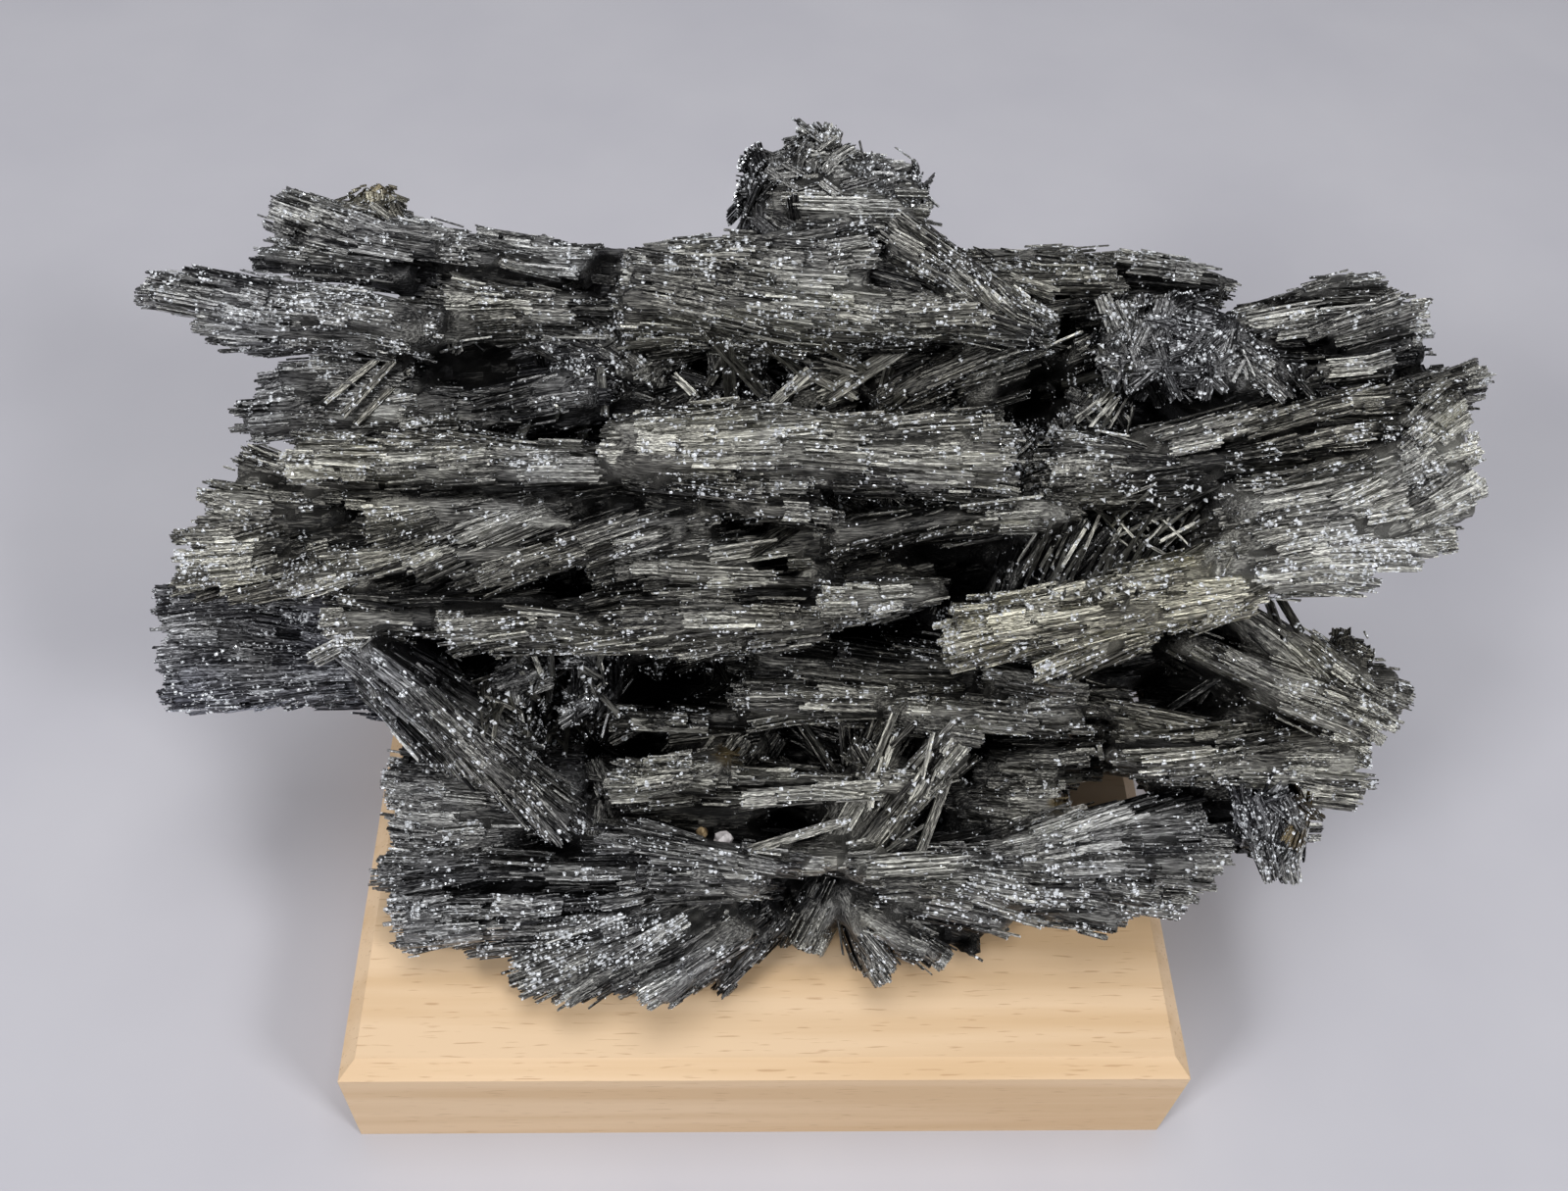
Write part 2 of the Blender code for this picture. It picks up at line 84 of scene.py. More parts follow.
# Sprays on the display face, millimetres: the root's u, v and w, the tip's u, v and w, the width at
# root and tip, and the depth at root and tip.
FACE_SPRAYS = {
    "upper_left_plates": (
        (-37.5, 41.5, -7, -63.5, 46, -8, 7, 7, 11, 5),
        (-18.5, 39.5, -7, -42.5, 41.5, -8, 7.5, 7, 11, 8),
        (-40.5, 31.5, 1, -75.5, 35.5, -1, 7.5, 2.5, 17, 3),
        (-45.5, 29.5, -1, -69, 31, -2, 4, 2.5, 15, 3),
        (-44, 38.5, -5, -64.5, 40, -6, 4, 2, 8, 3),
        (-42, 26, -8, -64, 26, -9, 5, 4, 10, 5),
        (-43, 22, -9, -67.5, 22, -9, 4.5, 4.5, 9, 5),
        (-19, 32.5, -8, -49, 31.5, -8, 12, 11, 10, 8),
        (-22, 25, -5, -47.5, 23, -9, 8, 5, 13, 7),
    ),
    "crust_knob": (
        (-53, 46, -8, -45, 47.5, -9, 7.5, 7.5, 7, 6),
    ),
    "crest": (
        (-19, 35, 4, 31, 31.5, 3, 12, 3, 22, 6),
        (-18, 38, 1, 11, 39, 2, 7.5, 8, 19, 9),
        (11, 41.5, 2, 29.5, 32, 2, 9.5, 3, 20, 5),
        (-2.5, 45.5, -3, 17, 45, -3, 6.5, 5.5, 12, 8),
        (17, 42, -12, 37.5, 41, -14, 4, 2.5, 8, 5),
        (22, 38.5, -8, 41, 37.5, -8, 3.5, 3, 10, 6),
    ),
    "crest_knob": (
        (-1, 43, -4, -1.5, 55.5, -7, 8, 6.5, 14, 6),
        (0, 51, -5, 17.5, 48.5, -5, 9, 5.5, 9, 6),
        (2, 47, -5, 4, 57.5, -7, 8, 5, 8, 6),
    ),
    "recess_under_crest": (
        (10, 23, -2, 30.5, 31.5, -2, 4.5, 3, 16, 6),
        (0, 23, -8, 22, 31, -8, 4, 4, 10, 6),
        (21, 24, -6, 37.5, 30.5, -8, 4, 4, 12, 6),
        (-23.5, 27, -8, -7, 31, -9, 5, 4.5, 10, 6),
    ),
    "upper_right_fan": (
        (54.5, 37.5, -8, 38, 41, -9, 3, 3, 9, 6),
        (51.5, 34, -3, 71, 36, -2, 2.5, 3, 7, 5),
        (50, 31, -3, 75, 32.5, -2, 4, 5, 9, 5),
        (53, 28.5, -5, 77.5, 29.5, -5, 4, 3, 8, 4),
        (50, 24, -3, 73.5, 28, -3, 3, 2, 9, 4),
        (66, 22, -2, 81.5, 25.5, -1, 2.5, 4.5, 6, 5),
        (54, 27.5, -1, 72, 33.5, -1, 3.5, 4.5, 7, 4),
        (52, 32.5, -1.5, 68, 37, -2, 3, 4, 6, 4),
        (50, 22, 0, 63.5, 24.5, -1, 3, 2.5, 8, 5),
    ),
    "right_crust": (
        (69.5, 25.5, -3, 76.5, 27, -3, 3.5, 4, 6, 5),
        (64, -6, -2, 69.5, -7.5, -2, 4, 4, 6, 5),
    ),
    "right_fan_crest": (
        (39.5, 17.5, 4, 78.5, 23.5, 2, 3.5, 3.5, 22, 5),
        (42.5, 15, 6, 69.5, 18.5, 5, 4.5, 3, 22, 5),
        (47, 13, 5, 70.5, 15, 4, 5, 5, 22, 6),
        (50.5, 14.5, 4, 28.5, 15, 5, 6.5, 6.5, 18, 7),
        (49, 11.5, 2, 27.5, 11, 3, 2.5, 2.5, 18, 6),
    ),
    "right_fan": (
        (58, 8, 8, 73, 17, 6, 3, 5, 7, 4),
        (62, 5.5, 8.5, 76.5, 13, 6.5, 3, 4.5, 7, 4),
        (63.5, 12, 6, 77, 22, 4, 3, 5.5, 7, 5),
        (48.5, 10, 7, 78, 16, 5, 4.5, 5.5, 22, 5),
        (47.5, 6.5, 8, 77.5, 11, 6, 4.5, 5, 22, 5),
        (46, 4, 9, 74, 6.5, 7, 4.5, 4, 22, 5),
        (48, 2, 9, 66, 2.5, 7, 3, 2, 16, 4),
    ),
    "diagonal_blade": (
        (53.5, 1, 9, 17.5, -4.5, 13, 4.5, 6.5, 12, 9),
        (48.5, 4, 8, 22, -2, 11, 3, 2.5, 20, 6),
        (42, -3.5, 8, 29, -8, 8, 4, 2.5, 20, 5),
    ),
    "middle": (
        (-21, 16.5, 12, 25.5, 15, 14, 9.5, 7.5, 26, 9),
        (5, 17.5, 13, 23, 18.5, 13, 4, 4, 22, 7),
        (33, 9, 8, 3.5, 7, 9, 4, 3, 22, 6),
        (-19, 12.5, 10, 5.5, 10, 11, 3, 3.5, 22, 7),
        (-19, 14.5, 9, -55.5, 15, 9, 6, 6, 24, 9),
        (-7.5, 9, 8, -55.5, 2, 10, 5, 5.5, 24, 9),
        (-21.5, 10, 7, -47.5, 9.5, 8, 4.5, 4.5, 22, 12),
        (7.5, 6.5, 4, -22, 3.5, 6, 6.5, 6.5, 22, 14),
        (6.5, 3.5, 6, -17.5, 2, 7, 4.5, 4.5, 22, 14),
        (-48, 9.5, 5, -67, 11.5, 3, 5, 3, 20, 5),
        (-48, 8, 5, -69.5, 7.5, 3, 4.5, 3.5, 18, 5),
        (-48, 5, 5, -71, 1.5, 2, 4.5, 4, 18, 5),
        (-48, 12, 3, -64, 16, 1, 4.5, 3, 16, 5),
        (-48, 2, 4, -65, 1, 2, 3.5, 2.5, 16, 5),
        (5.5, -2, 7, -39.5, -3.5, 9, 5, 4.5, 24, 10),
        (-25.5, -1.5, 9, -51, -2, 10, 5.5, 4.5, 22, 9),
        (20, 1, 5, 3, -0.5, 9, 2.5, 4.5, 22, 8),
        (-3.5, -5, 6, -34.5, -5, 7, 2.5, 2.5, 22, 6),
        (24.5, 5.5, -7, 4.5, 2, -6, 5.5, 5, 11, 8),
    ),
    "left_wing": (
        (-46, -7.5, -5, -76, -6.5, -7, 9, 15.5, 14, 5),
        (-50, -1.5, -4, -76.5, 0, -6, 4.5, 3.5, 9, 4),
        (-42, -11, -8, -53, -12.5, -9, 9.5, 3.5, 10, 6),
    ),
    "left_diagonal": (
        (-49.5, -4.5, 9, -24, -26.5, 4, 5.5, 4, 22, 9),
        (-49, -9, 5, -36.5, -18, 3, 3.5, 4.5, 16, 8),
        (-47, -5.5, 5, -31, -17, 3, 6.5, 5.5, 22, 10),
    ),
    "lacy_recess": (
        (-32, -5, -2, -34.5, -21, -4, 10, 8, 16, 8),
        (-23, -5, -3, -23, -15.5, -4, 6, 5, 15, 7),
    ),
    "lower_left_fan": (
        (-24.5, -23.5, -6, -49, -23, -9, 10, 9, 12, 6),
        (-30.5, -28.5, -7, -48.5, -28.5, -9, 4, 4, 11, 5),
        (-30, -31, -8, -47.5, -30.5, -9, 3.5, 2, 10, 4),
        (-13.5, -31.5, -2, -49.5, -33, -4, 6.5, 4, 16, 5),
        (-12.5, -33.5, -1, -47.5, -36.5, -4.5, 5.5, 2.5, 17, 4),
        (-9, -35, 0, -46, -40, -1, 6, 4.5, 18, 5),
        (-6.5, -36, 1, -32.5, -45, -1.5, 6, 5, 19, 6),
        (-7, -37, 0, -26.5, -46.5, 1, 5, 3, 18, 5),
        (-4.5, -36.5, 1, -21.5, -46, -1, 6, 4, 19, 5),
        (-3.5, -37, 3, -16, -46.5, 3.5, 5.5, 3.5, 21, 5),
        (-1, -37.5, -1, -10, -46.5, -3, 5, 3.5, 17, 5),
        (3.5, -31.5, 3, -23, -27, 5, 3, 2, 21, 5),
        (0, -33, 3, -16.5, -31.5, 4, 6, 4, 21, 6),
    ),
    "foot": (
        (5.5, -34, -2, 11.5, -46, -3, 3, 3, 16, 5),
        (5.5, -33.5, -3, 1, -42.5, -4, 5, 5.5, 15, 6),
        (8, -34, -2, 19, -43.5, -5, 3.5, 4.5, 16, 6),
        (8, -36, 0, 16, -41, 0, 4, 3.5, 18, 5),
        (11.5, -36, -4, 24.5, -41.5, -6, 4.5, 4, 14, 5),
    ),
    "lower_right_fan": (
        (6.5, -31, 3, 50, -31, 1, 3.5, 4.5, 21, 5),
        (6.5, -32, 2, 47, -34.5, 0, 3, 3.5, 20, 5),
        (8, -33.5, 0, 40, -37.5, -1, 3, 3, 18, 5),
        (10, -35, -1, 27.5, -38.5, -2, 3, 2.5, 17, 5),
        (14.5, -30, 1, 48.5, -24.5, 0, 3, 4, 14, 5),
        (18, -29.5, 1, 53.5, -28.5, 0, 3.5, 4, 17, 5),
        (36.5, -29, -3, 61, -28.5, -4, 3.5, 3, 12, 5),
        (44, -26.5, -4, 62.5, -26.5, -5, 6, 6, 9, 8),
    ),
    "lower_right_bundle": (
        (45, -4.5, 3, 69.5, -15, 1, 3.5, 8.5, 18, 7),
        (50, 0, 1, 68, -12, 0, 3.5, 6.5, 12, 6),
        (63, -11, -3, 74, -12.5, -4, 6.5, 7.5, 8, 6),
        (62, -9.5, -5, 73, -8.5, -6, 4, 3, 6, 4),
        (62, -10.5, -6, 70, -6.5, -9, 4, 3, 6, 5),
        (37, -17.5, 3, 67.5, -18.5, 1, 6, 5.5, 18, 6),
        (49, -22, -3, 69, -22, -4, 5, 4, 13, 6),
        (50, -26, -6, 63.5, -28, -6, 5, 3, 8, 5),
    ),
    "lower_middle": (
        (14.5, -12, -1, -6, -12, 0, 4.5, 5.5, 17, 9),
        (24, -9, -4, -5, -7, -4, 4.5, 4, 14, 8),
        (-3.5, -15, -3, -22, -14.5, -3, 3, 2, 15, 5),
        (11.5, -13.5, 2, 35.5, -13.5, 2, 4, 4, 20, 8),
        (22, -9, 4, 34, -10, 4, 3, 4, 22, 8),
        (33.5, -11.5, -2, 50.5, -16, -3, 4, 2.5, 16, 6),
        (19, -22, 1, -21.5, -22.5, 0, 3.5, 4.5, 19, 10),
        (-6, -19.5, 2, -18, -21.5, 2, 3, 2, 20, 5),
        (-1, -27, -6, -22, -27, -7, 5, 4, 12, 7),
        (9, -31, 0, -2, -31, 1, 4, 3.5, 18, 6),
        (3.5, -30.5, -3, 13.5, -15, -2, 5.5, 4, 15, 8),
        (8, -30.5, 0, 17, -19.5, 0, 5, 4.5, 18, 8),
        (16, -22, 1, 20.5, -15.5, 1, 4.5, 5, 19, 8),
        (18.5, -24, -3, 33.5, -24.5, -4, 5, 5, 15, 7),
        (22, -19.5, -4, 37, -19, -2, 4.5, 4, 14, 6),
        (-4.5, -13.5, -9, -12, -23, -9, 9.5, 9.5, 9, 7),
        (44.5, -13.5, -12, 57, -14, -13, 8.5, 8.5, 7, 7),
        (43, -21.5, -7, 54, -22, -8, 6, 6, 9, 8),
        (49, -13.5, -4, 61, -15.5, -5, 6, 6, 9, 8),
    ),
    "right_recess": (
        (24, -1, 3, 29.5, 10, 1, 3.5, 3.5, 21, 8),
        (28.5, 0, 1, 36, 9.5, -1, 3.5, 4, 19, 8),
        (33.5, 1, -2, 46, 11, -4, 3.5, 4.5, 16, 8),
        (50.5, 5.5, -8, 36.5, 8, -9, 9, 9, 8, 8),
        (56, -6, -11, 27, -9.5, -12, 10, 10, 11, 11),
        (45, 20, -9, 31, 23.5, -10, 9, 10, 9, 8),
    ),
}

# Bundles that point out of the face, so that their broken ends show: foot, end, width, height.
END_ON_BUNDLES = (
    ((50, 28, -16), (47.5, 29.5, -1), 12, 11),
    ((43, 29, -13), (41, 31, -3), 11, 9),
    ((57, 27, -14), (55, 25.5, 0), 7.5, 8),
    ((59, -26, -12), (55.5, -25.5, 2), 7.5, 8),
)

# The heart behind the sprays: lumps by centre and half sizes, x, y, z.
HEART_LUMPS = (
    ((0, 28, 38), (48, 19, 18)),
    ((0, 6, 24), (40, 22, 8)),
    ((3, 43, 56), (42, 12, 18)),
    ((40, 26, 50), (19, 13, 13)),
    ((-38, 24, 44), (18, 14, 12)),
)

# Rows of sprays across the back: height, from x, to x, y of the surface. Then how far apart the
# sprays stand, how far they overlap, how far their ends stray, and how wide and deep they are.
BACK_ROWS = (
    (26, -36, 38, 42),
    (36, -44, 46, 46),
    (46, -48, 52, 49),
    (56, -42, 54, 50),
    (65, -34, 42, 49),
)
BACK_PITCH = 24
BACK_OVERLAP = 7
BACK_ROOT_IN = 3
BACK_TIP_OUT = 1
BACK_ROOT_STRAY = 2
BACK_TIP_STRAY = 4
BACK_WIDTH = 11.5
BACK_TIP_WIDTHS = (0.6, 0.9)
BACK_DEPTHS = (12, 7)
BACK_OUTWARD = np.array((0, 1, -0.15))

# Bundles that stick out of the two flanks: y and z of each axis, and how far out it ends.
FLANK_BUNDLES = ((14, 31, 43), (34, 34, 46), (22, 46, 54), (40, 50, 50), (42, 62, 46))
FLANK_ROOT_SHARE = 0.4
FLANK_STRAY = 3
FLANK_WIDTHS = (14, 11)
FLANK_DEPTHS = (12, 9)
FLANK_OUTWARD = np.array((0, 0.3, 1))

# Each piece of needles, and the groups of sprays that it covers. Each group's numbers say how much
# lighter it is than the mean, and how far from violet-blue towards straw.
PIECES = {
    "upper_left_needles": {
        "upper_left_plates": (-0.01, -0.25),
        "crust_knob": (-0.12, 0.6),
    },
    "crest_needles": {
        "crest": (0.0, 0.0),
        "crest_knob": (0.0, -0.2),
        "recess_under_crest": (-0.02, 0.1),
    },
    "right_needles": {
        "upper_right_fan": (-0.02, -0.1),
        "right_crust": (-0.18, 0.4),
        "right_fan_crest": (-0.06, 0.1),
        "right_fan": (0.14, 0.0),
        "diagonal_blade": (0.17, 0.5),
        "right_recess": (-0.02, -0.1),
        "end_on": (-0.12, -0.35),
    },
    "middle_needles": {
        "middle": (-0.02, 0.1),
    },
    "left_needles": {
        "left_wing": (-0.06, -0.7),
        "left_diagonal": (-0.1, -0.3),
        "lacy_recess": (-0.04, -0.3),
        "lower_left_fan": (0.0, -0.3),
    },
    "lower_needles": {
        "foot": (0, 0),
        "lower_right_fan": (-0.04, -0.1),
        "lower_right_bundle": (0.12, 0.15),
        "lower_middle": (-0.01, 0.1),
    },
    "back_needles": {
        "back": (0, 0),
        "flank": (0, 0),
        "heart": (-0.15, 0),
    },
}
LOOKS = {group: look for groups in PIECES.values() for group, look in groups.items()}

# How tangled the short needles of some groups lie, from 0 for combed to 1, and how long they are.
TANGLE = {
    "end_on": (0.55, 3.5),
    "crest_knob": (0.3, 3.2),
    "lacy_recess": (0.5, 3.5),
    "crust_knob": (0.6, 0.9),
    "right_crust": (0.6, 0.9),
    "heart": (0.3, 3.5),
}

# Spots on the display plane, by u, v and radius, or by u, v and two half sizes: where painted
# glints and crumbs gather, where ochre stains sit, the mouths of the deep hollows, which are carved
# and also painted darker as painted shade, and where the grains lie.
GLITTER = (
    (51, 11.5, 3.5), (36, 18.5, 2.5), (28, 16, 2.5), (-13.5, 14, 3), (30, -32.5, 3),
    (-26, -26.5, 2.5), (-65, 3.5, 3), (-54.5, -2.5, 2), (-13.5, 42, 2), (4, 33, 1.5),
    (-19, 38.5, 1.3), (-19, 34.5, 1.3), (-19, 31, 1.3), (-42.5, 29, 3.5), (-52.5, 2.5, 5),
    (-23.2, 26, 2), (4, 0, 3), (28, 18, 2), (-22, -38, 5), (-14, -37, 3.5), (17, 39, 3),
    (-50, 33, 6), (64, 5, 5), (20, -4.5, 3),
)
STAINS = (
    (-47, 48, 2.2), (-7, -18, 1.6), (31.5, -23.5, 1.8), (29.5, -11, 1), (21, -4, 1.2),
    (58.5, -25, 1.6),
)
HOLLOWS = (
    (-12.5, -10.5, 7.5, 3.4), (19, 5.5, 9, 2.6), (46, -10.4, 7.2, 3.6), (-36, -7.5, 3.5, 2),
    (-16, -17, 6, 1.6), (0.5, -26, 5, 1.6), (-11, 27, 3, 2.2), (-1.5, 25.5, 3.5, 2),
    (28.7, 23.5, 5, 4.6), (-35.5, 26.5, 8, 3), (-1, 3.5, 3, 1.3), (11, -4, 7, 1.8),
    (36, -21, 5, 2.8), (59.5, 28.5, 4.4, 1.8), (71.8, 26.5, 2.6, 1.8), (45, 22, 5, 2),
)
GRAIN_SITES = ((-7.4, -28, 1.9, 1.6), (-9.9, -27, 1.3, 1.1))

# Crevices between blades, on the display plane, carved into the core and painted darker as
# painted shade: one end, the other, half width.
CREVICES = (
    (-20, 42.5, -21.5, 32, 1.6), (31.5, 35, 31, 25, 1.1), (-30, -27.5, -19.5, -30.5, 1),
    (15, -37.5, 24, -40, 1.4), (38, 19.5, 62, 24, 0.8), (44, 16, 72, 22, 0.7),
    (50, 13.5, 74, 20, 0.7), (-18, 12, 22, 11, 0.7), (-50, 12, -20, 12.5, 0.6),
    (-50, 5.5, -10, 8, 0.7), (-52, -1, -8, -1.5, 0.7), (-46, 38.5, -20, 35, 0.8),
    (-12, -22.5, 12, -21, 0.7), (26, -8.5, 40, -8, 0.8), (36, -17, 52, -17.5, 0.9),
    (48, -26, 53, -29.5, 1), (-48, -33.5, -14, -33, 0.7), (-40, -37.5, -12, -35, 0.6),
    (10, -32.5, 42, -32, 0.5), (44, 33, 70, 34, 0.7),
)

# Places on the display plane where the fibres slant across their blades: centre, half sizes, and
# how steeply they rise to the right, in degrees.
SLANTS = (
    (-31, 7, 19, 6.5, 23), (-56, 5.5, 9, 6.5, 20), (-50, 15, 9, 3.5, -8), (-8, 7.5, 12, 4, 10),
    (21, 37, 9, 5, -36), (-6, 36, 15, 7, -8), (-52, 43.5, 12, 5, -22), (-30, 37, 10, 5, -12),
    (-57, 33, 12, 3.5, -6), (12, 11.5, 12, 3, 12), (8, -3, 12, 3, 10), (50, 18, 9, 3.5, 14),
)

# Single laths that cross the hollows, on the display plane: one end, the other, width.
CROSSING_LATHS = (
    (-10.5, 32, -3, 23.5, 1.3), (0, 31, -3.5, 26.5, 1.2), (-16, 24.5, -12.5, 28, 1.2),
    (-12.5, 28, -10, 23.5, 1.2), (-7, 29, -6.5, 22.5, 1.5), (-2, 22, 2.5, 26, 1.3),
    (-13.2, 25.7, -10.8, 23.4, 0.9), (-6.8, 28.4, -9.1, 24.4, 0.9), (-2.7, 29.1, 2, 25.5, 0.9),
    (-0.3, 23.4, 8.1, 27.8, 0.9), (4.7, 22.7, 13.5, 28.4, 1), (11.1, 24, 12.2, 26.1, 0.7),
    (10.8, 21.3, 13.5, 23.4, 1), (4, 29, 9.5, 26, 0.8), (16, 23, 20, 27.5, 0.8),
    (33, 20.3, 37.6, 23.8, 0.8), (36, 29, 37.5, 22, 0.7), (2, 26, 8, 23, 1.3),
    (5.5, 24.5, 12.5, 28.5, 1.2), (11.5, 26.5, 10.5, 22.5, 0.9), (31.5, 24.5, 39.5, 26.5, 1.2),
    (-24, 26, -23.5, 18.5, 1.3), (-21.5, 26.5, -21, 21, 1), (-31.5, 17, -30, 20, 1.2),
    (-27.5, 18.5, -26.5, 22, 1.2), (-37, 13.5, -35.5, 17, 1.1), (-34, 15.5, -32, 19, 1),
    (-51, 21, -45, 27.5, 0.9), (-53, 22.5, -47, 27.5, 0.8), (-49.5, 20, -43.5, 26, 0.9),
    (-40, -5.5, -37.5, -9.5, 1.2), (57, 0, 57, -5, 1.1), (58.5, 0, 59, -4, 1),
    (-4.5, -29, 7, -25.5, 1.1), (15, -30, 18.5, -20.5, 1.1), (12, -27.5, 16, -21, 1.2),
    (29.5, -21.5, 35, -20.5, 1), (-18, -14.5, -9, -15, 1.4),
)

# Thickets of fine laths: centre, half sizes, count, mean angle and spread in degrees, length, width.
THICKETS = (
    ((35, 5), (7, 3), 34, 62, 9, 7, 0.35),
    ((43, 9), (5, 3), 22, 40, 20, 6, 0.3),
    ((40, 8), (5, 3), 16, 140, 12, 3.5, 0.3),
    ((35, 22.5), (3, 3), 16, 50, 12, 4, 0.3),
    ((36, 22.5), (3, 3), 10, 140, 12, 3.5, 0.3),
    ((-28, -11), (8, 5.5), 60, 80, 80, 3.2, 0.55),
    ((14, -20), (5, 4), 16, 60, 20, 6, 0.7),
)

# The core's blades: points round a section, how far apart the sections are, how much thinner and
# shorter than its spray a blade is, how ragged its ends are, and how its root dives under others.
RING = 22
STATION = 1.6
CORE_THIN = 0.25
CORE_SHORT = 0.8
TIP_RAGGED = 2
ROOT_RAGGED = 2
ROOT_DIVE = 2.5
ROOT_LENGTH = 4
BLUNT = ("crest", "crest_knob", "end_on", "back", "flank")
# Ribs along the blades: how much they differ in height, how long each runs, and how many at most.
RIB = 0.4
RIB_LENGTH = (4, 11)
RIBS = 40
# The slow warp of the whole core, and the size of the voxels that join its blades.
WARP = 1.1
WARP_SPAN = 16
VOXEL = 0.95
NOISE_SEED = 3
RIB_SEED = 7
# The lowest height of the core, just above the block, and the bare band at its foot.
REST_HEIGHT = 19.3
FOOT_BAND = 0.2
HOLLOW_DEPTH = 8
CREVICE_DEPTH = 3.5
# How steep the edges of spots and of lines are, and how lines taper from their middle to their ends.
SPOT_EDGE = 1.6
LINE_EDGE = 1.5
LINE_TAPER = (1.2, 1.6)

# Rays that measure how open a place lies: how many, how long, and how far off the surface they start.
PROBE_RAYS = 10
PROBE_REACH = 9
PROBE_START = 0.4

# How the fibres run: how much they spread across a blade, how they swirl, and how tangles turn.
SPLAY = 0.2
SWIRL = 0.26
SWIRL_SPAN = 10
TANGLE_SPAN = 5

# How thickly needles stand, against 1 in the open: in a closed place, where the eye can't see, in
# a tangle, and how much more on a slant. Then how fast they thin out into a hollow, and how much
# wider than its site the clearing round a grain is.
CLOSED = 0.2
UNSEEN = 0.24
TANGLED = 2.2
SLANTED = 0.3
HOLLOW_RIM = 3
GRAIN_CLEARING = 1.2

# How far laths may reach: the ragged lobes of a blade's end, its rounded side, the room left
# before a hollow, the longest lath on a slant and the shortest on a broken end.
LOBE = 1.2
LOBE_DEPTH = 4
LOBE_LANE = 7
SCALLOP = 2.2
SCALLOP_SHIFT = 0.4
ROUNDED = 0.8
HOLLOW_GAP = 0.5
SLANTED_LENGTH = 7
STUB = 1.4
# A place counts as slanted or broken from this share on.
MARKED = 0.3
# How squarely a face must stand across its blade to be a broken end: steepness and start.
BROKEN = (3, -1.8)

# Where painted glints and crumbs gather: along a blade's sides, at its tip, and in patches of this span.
RIM_SIDE = (4, -1.2)
RIM_TIP = (6, -5)
GRIT_SPAN = 6
GRIT_SHARE = 0.35
TANGLE_SPARKLE = 0.06
# How closed places are painted darker, a painted shade: steepness and start.
SHADOW = (1.5, -0.2)
# Streaks of lighter and darker fibres: width and length, contrast, how blades differ, and how far
# apart blades lie in the patterns.
STREAK = (1.6, 16)
STREAK_CONTRAST = 0.36
OWN_SHADE = 0.07
LANE = 31
SHADE_SEED = 5

# A sheaf's laths, millimetres, shares and radians: counts and ranges.
SHEAF_COUNTS = (9, 11, 12, 13)
SHEAF = {
    "pitch": (0.16, 0.2),
    "level": (0.4, 0.6),
    "first step": (0.85, 1),
    "step": (0.8, 1),
    "shift": (-0.05, 0.05),
    "depth": (-0.14, 0.14),
    "width": (1.0, 1.8),
    "thickness": (0.2, 0.36),
    "end": (0.93, 1.03),
    "root": (0.05, 0.2),
    "tone": (-0.4, 0.4),
    "roll": (-0.6, 0.6),
    "lower cut": (-1, 1),
    "upper cut": (-1.6, 1.6),
    "crumb": (0.12, 0.26),
}
SHEAF_CURVE = 0.5
STEP_CHANCE = 0.35
CRUMB_CHANCE = 0.16
CRUMB_OUT = 0.15
CRUMB_BACK = 0.1
# A single lath of the cover.
LATH = {
    "width": (0.25, 0.6),
    "thickness": (0.25, 0.4),
    "length": (0.7, 1),
    "lower cut": (-1, 1),
    "upper cut": (-2, 2),
}
LATH_ROOT = 0.1
# A lath that crosses a hollow, made of strips.
STRIP_WIDTH = 0.3
STRIP_OVERLAP = 1.5
STRIP = {
    "level": (0.4, 0.7),
    "depth": (-0.08, 0.08),
    "thickness": (0.35, 0.55),
    "root": (-0.3, 0.3),
    "end": (-0.4, 0.4),
    "cut": (-1, 1),
    "tone": (-0.4, 0.4),
    "roll": (-0.5, 0.5),
    "crumb": (0.3, 0.6),
}
STRIP_CRUMB_CHANCE = 0.6
STRIP_CRUMB_OUT = 0.2
LATH_PROUD = (1.3, 0.9)
THICKET = {"half": (0.3, 0.6), "proud": (0.8, 2), "width": (0.7, 1.3)}
# A crumb's corners, and how far out they stand as shares of its size.
CRUMB_CORNERS = ((1, 1, 1), (-1, -1, 1), (-1, 1, -1), (1, -1, -1))
CRUMB_REACH = (0.25, 0.6)
# Two ends in five get the painted glint's flat white. The tone's later digits pick which.
FLASH_CHANCES = 997
FLASH_SHARE = 0.4
UPRIGHT = tuple(np.eye(3))
# How far apart laths of different tones lie in the pattern of fine lines.
STRAND_SHIFT = (90, 50)

# The grains: place on the display plane and size, and how proud of the core they sit.
QUARTZ_GRAIN = (-7.4, -28, 2.4)
BROWN_GRAIN = (-9.9, -27, 1.4)
GRAIN_RISE = 1.5
GRAIN_UNEVEN = (0.7, 1.2)
# How deep a lath or grain sits where its place on the display plane misses the core.
MISSED = -6

# Each layer of needles: how far it stands proud in millimetres, how much it lifts and strays from
# the fibres as slopes, how far its pieces roll in radians, and its widths and lengths as shares.
Layer = namedtuple("Layer", "proud lift stray roll width length")
LAYERS = {
    "Sheaves": Layer((-0.1, 0.35), (-0.03, 0.03), 0.045, 0.25, (0.6, 1.15), (0.35, 1.05)),
    "Scales": Layer((0.25, 0.9), (-0.05, 0.07), 0.07, 0.35, (0.6, 1.0), (0.25, 0.55)),
    "Strays": Layer((0.1, 0.9), (0.0, 0.05), 0.08, 0.8, (0.6, 1.1), (0.2, 0.7)),
}
TANGLE_STRAY = 0.6
CRUMB_SIZES = (0.1, 0.26)
CRUMB_SEED = 80
END_CRUMB_SEED = 90
END_CRUMBS = 1.2

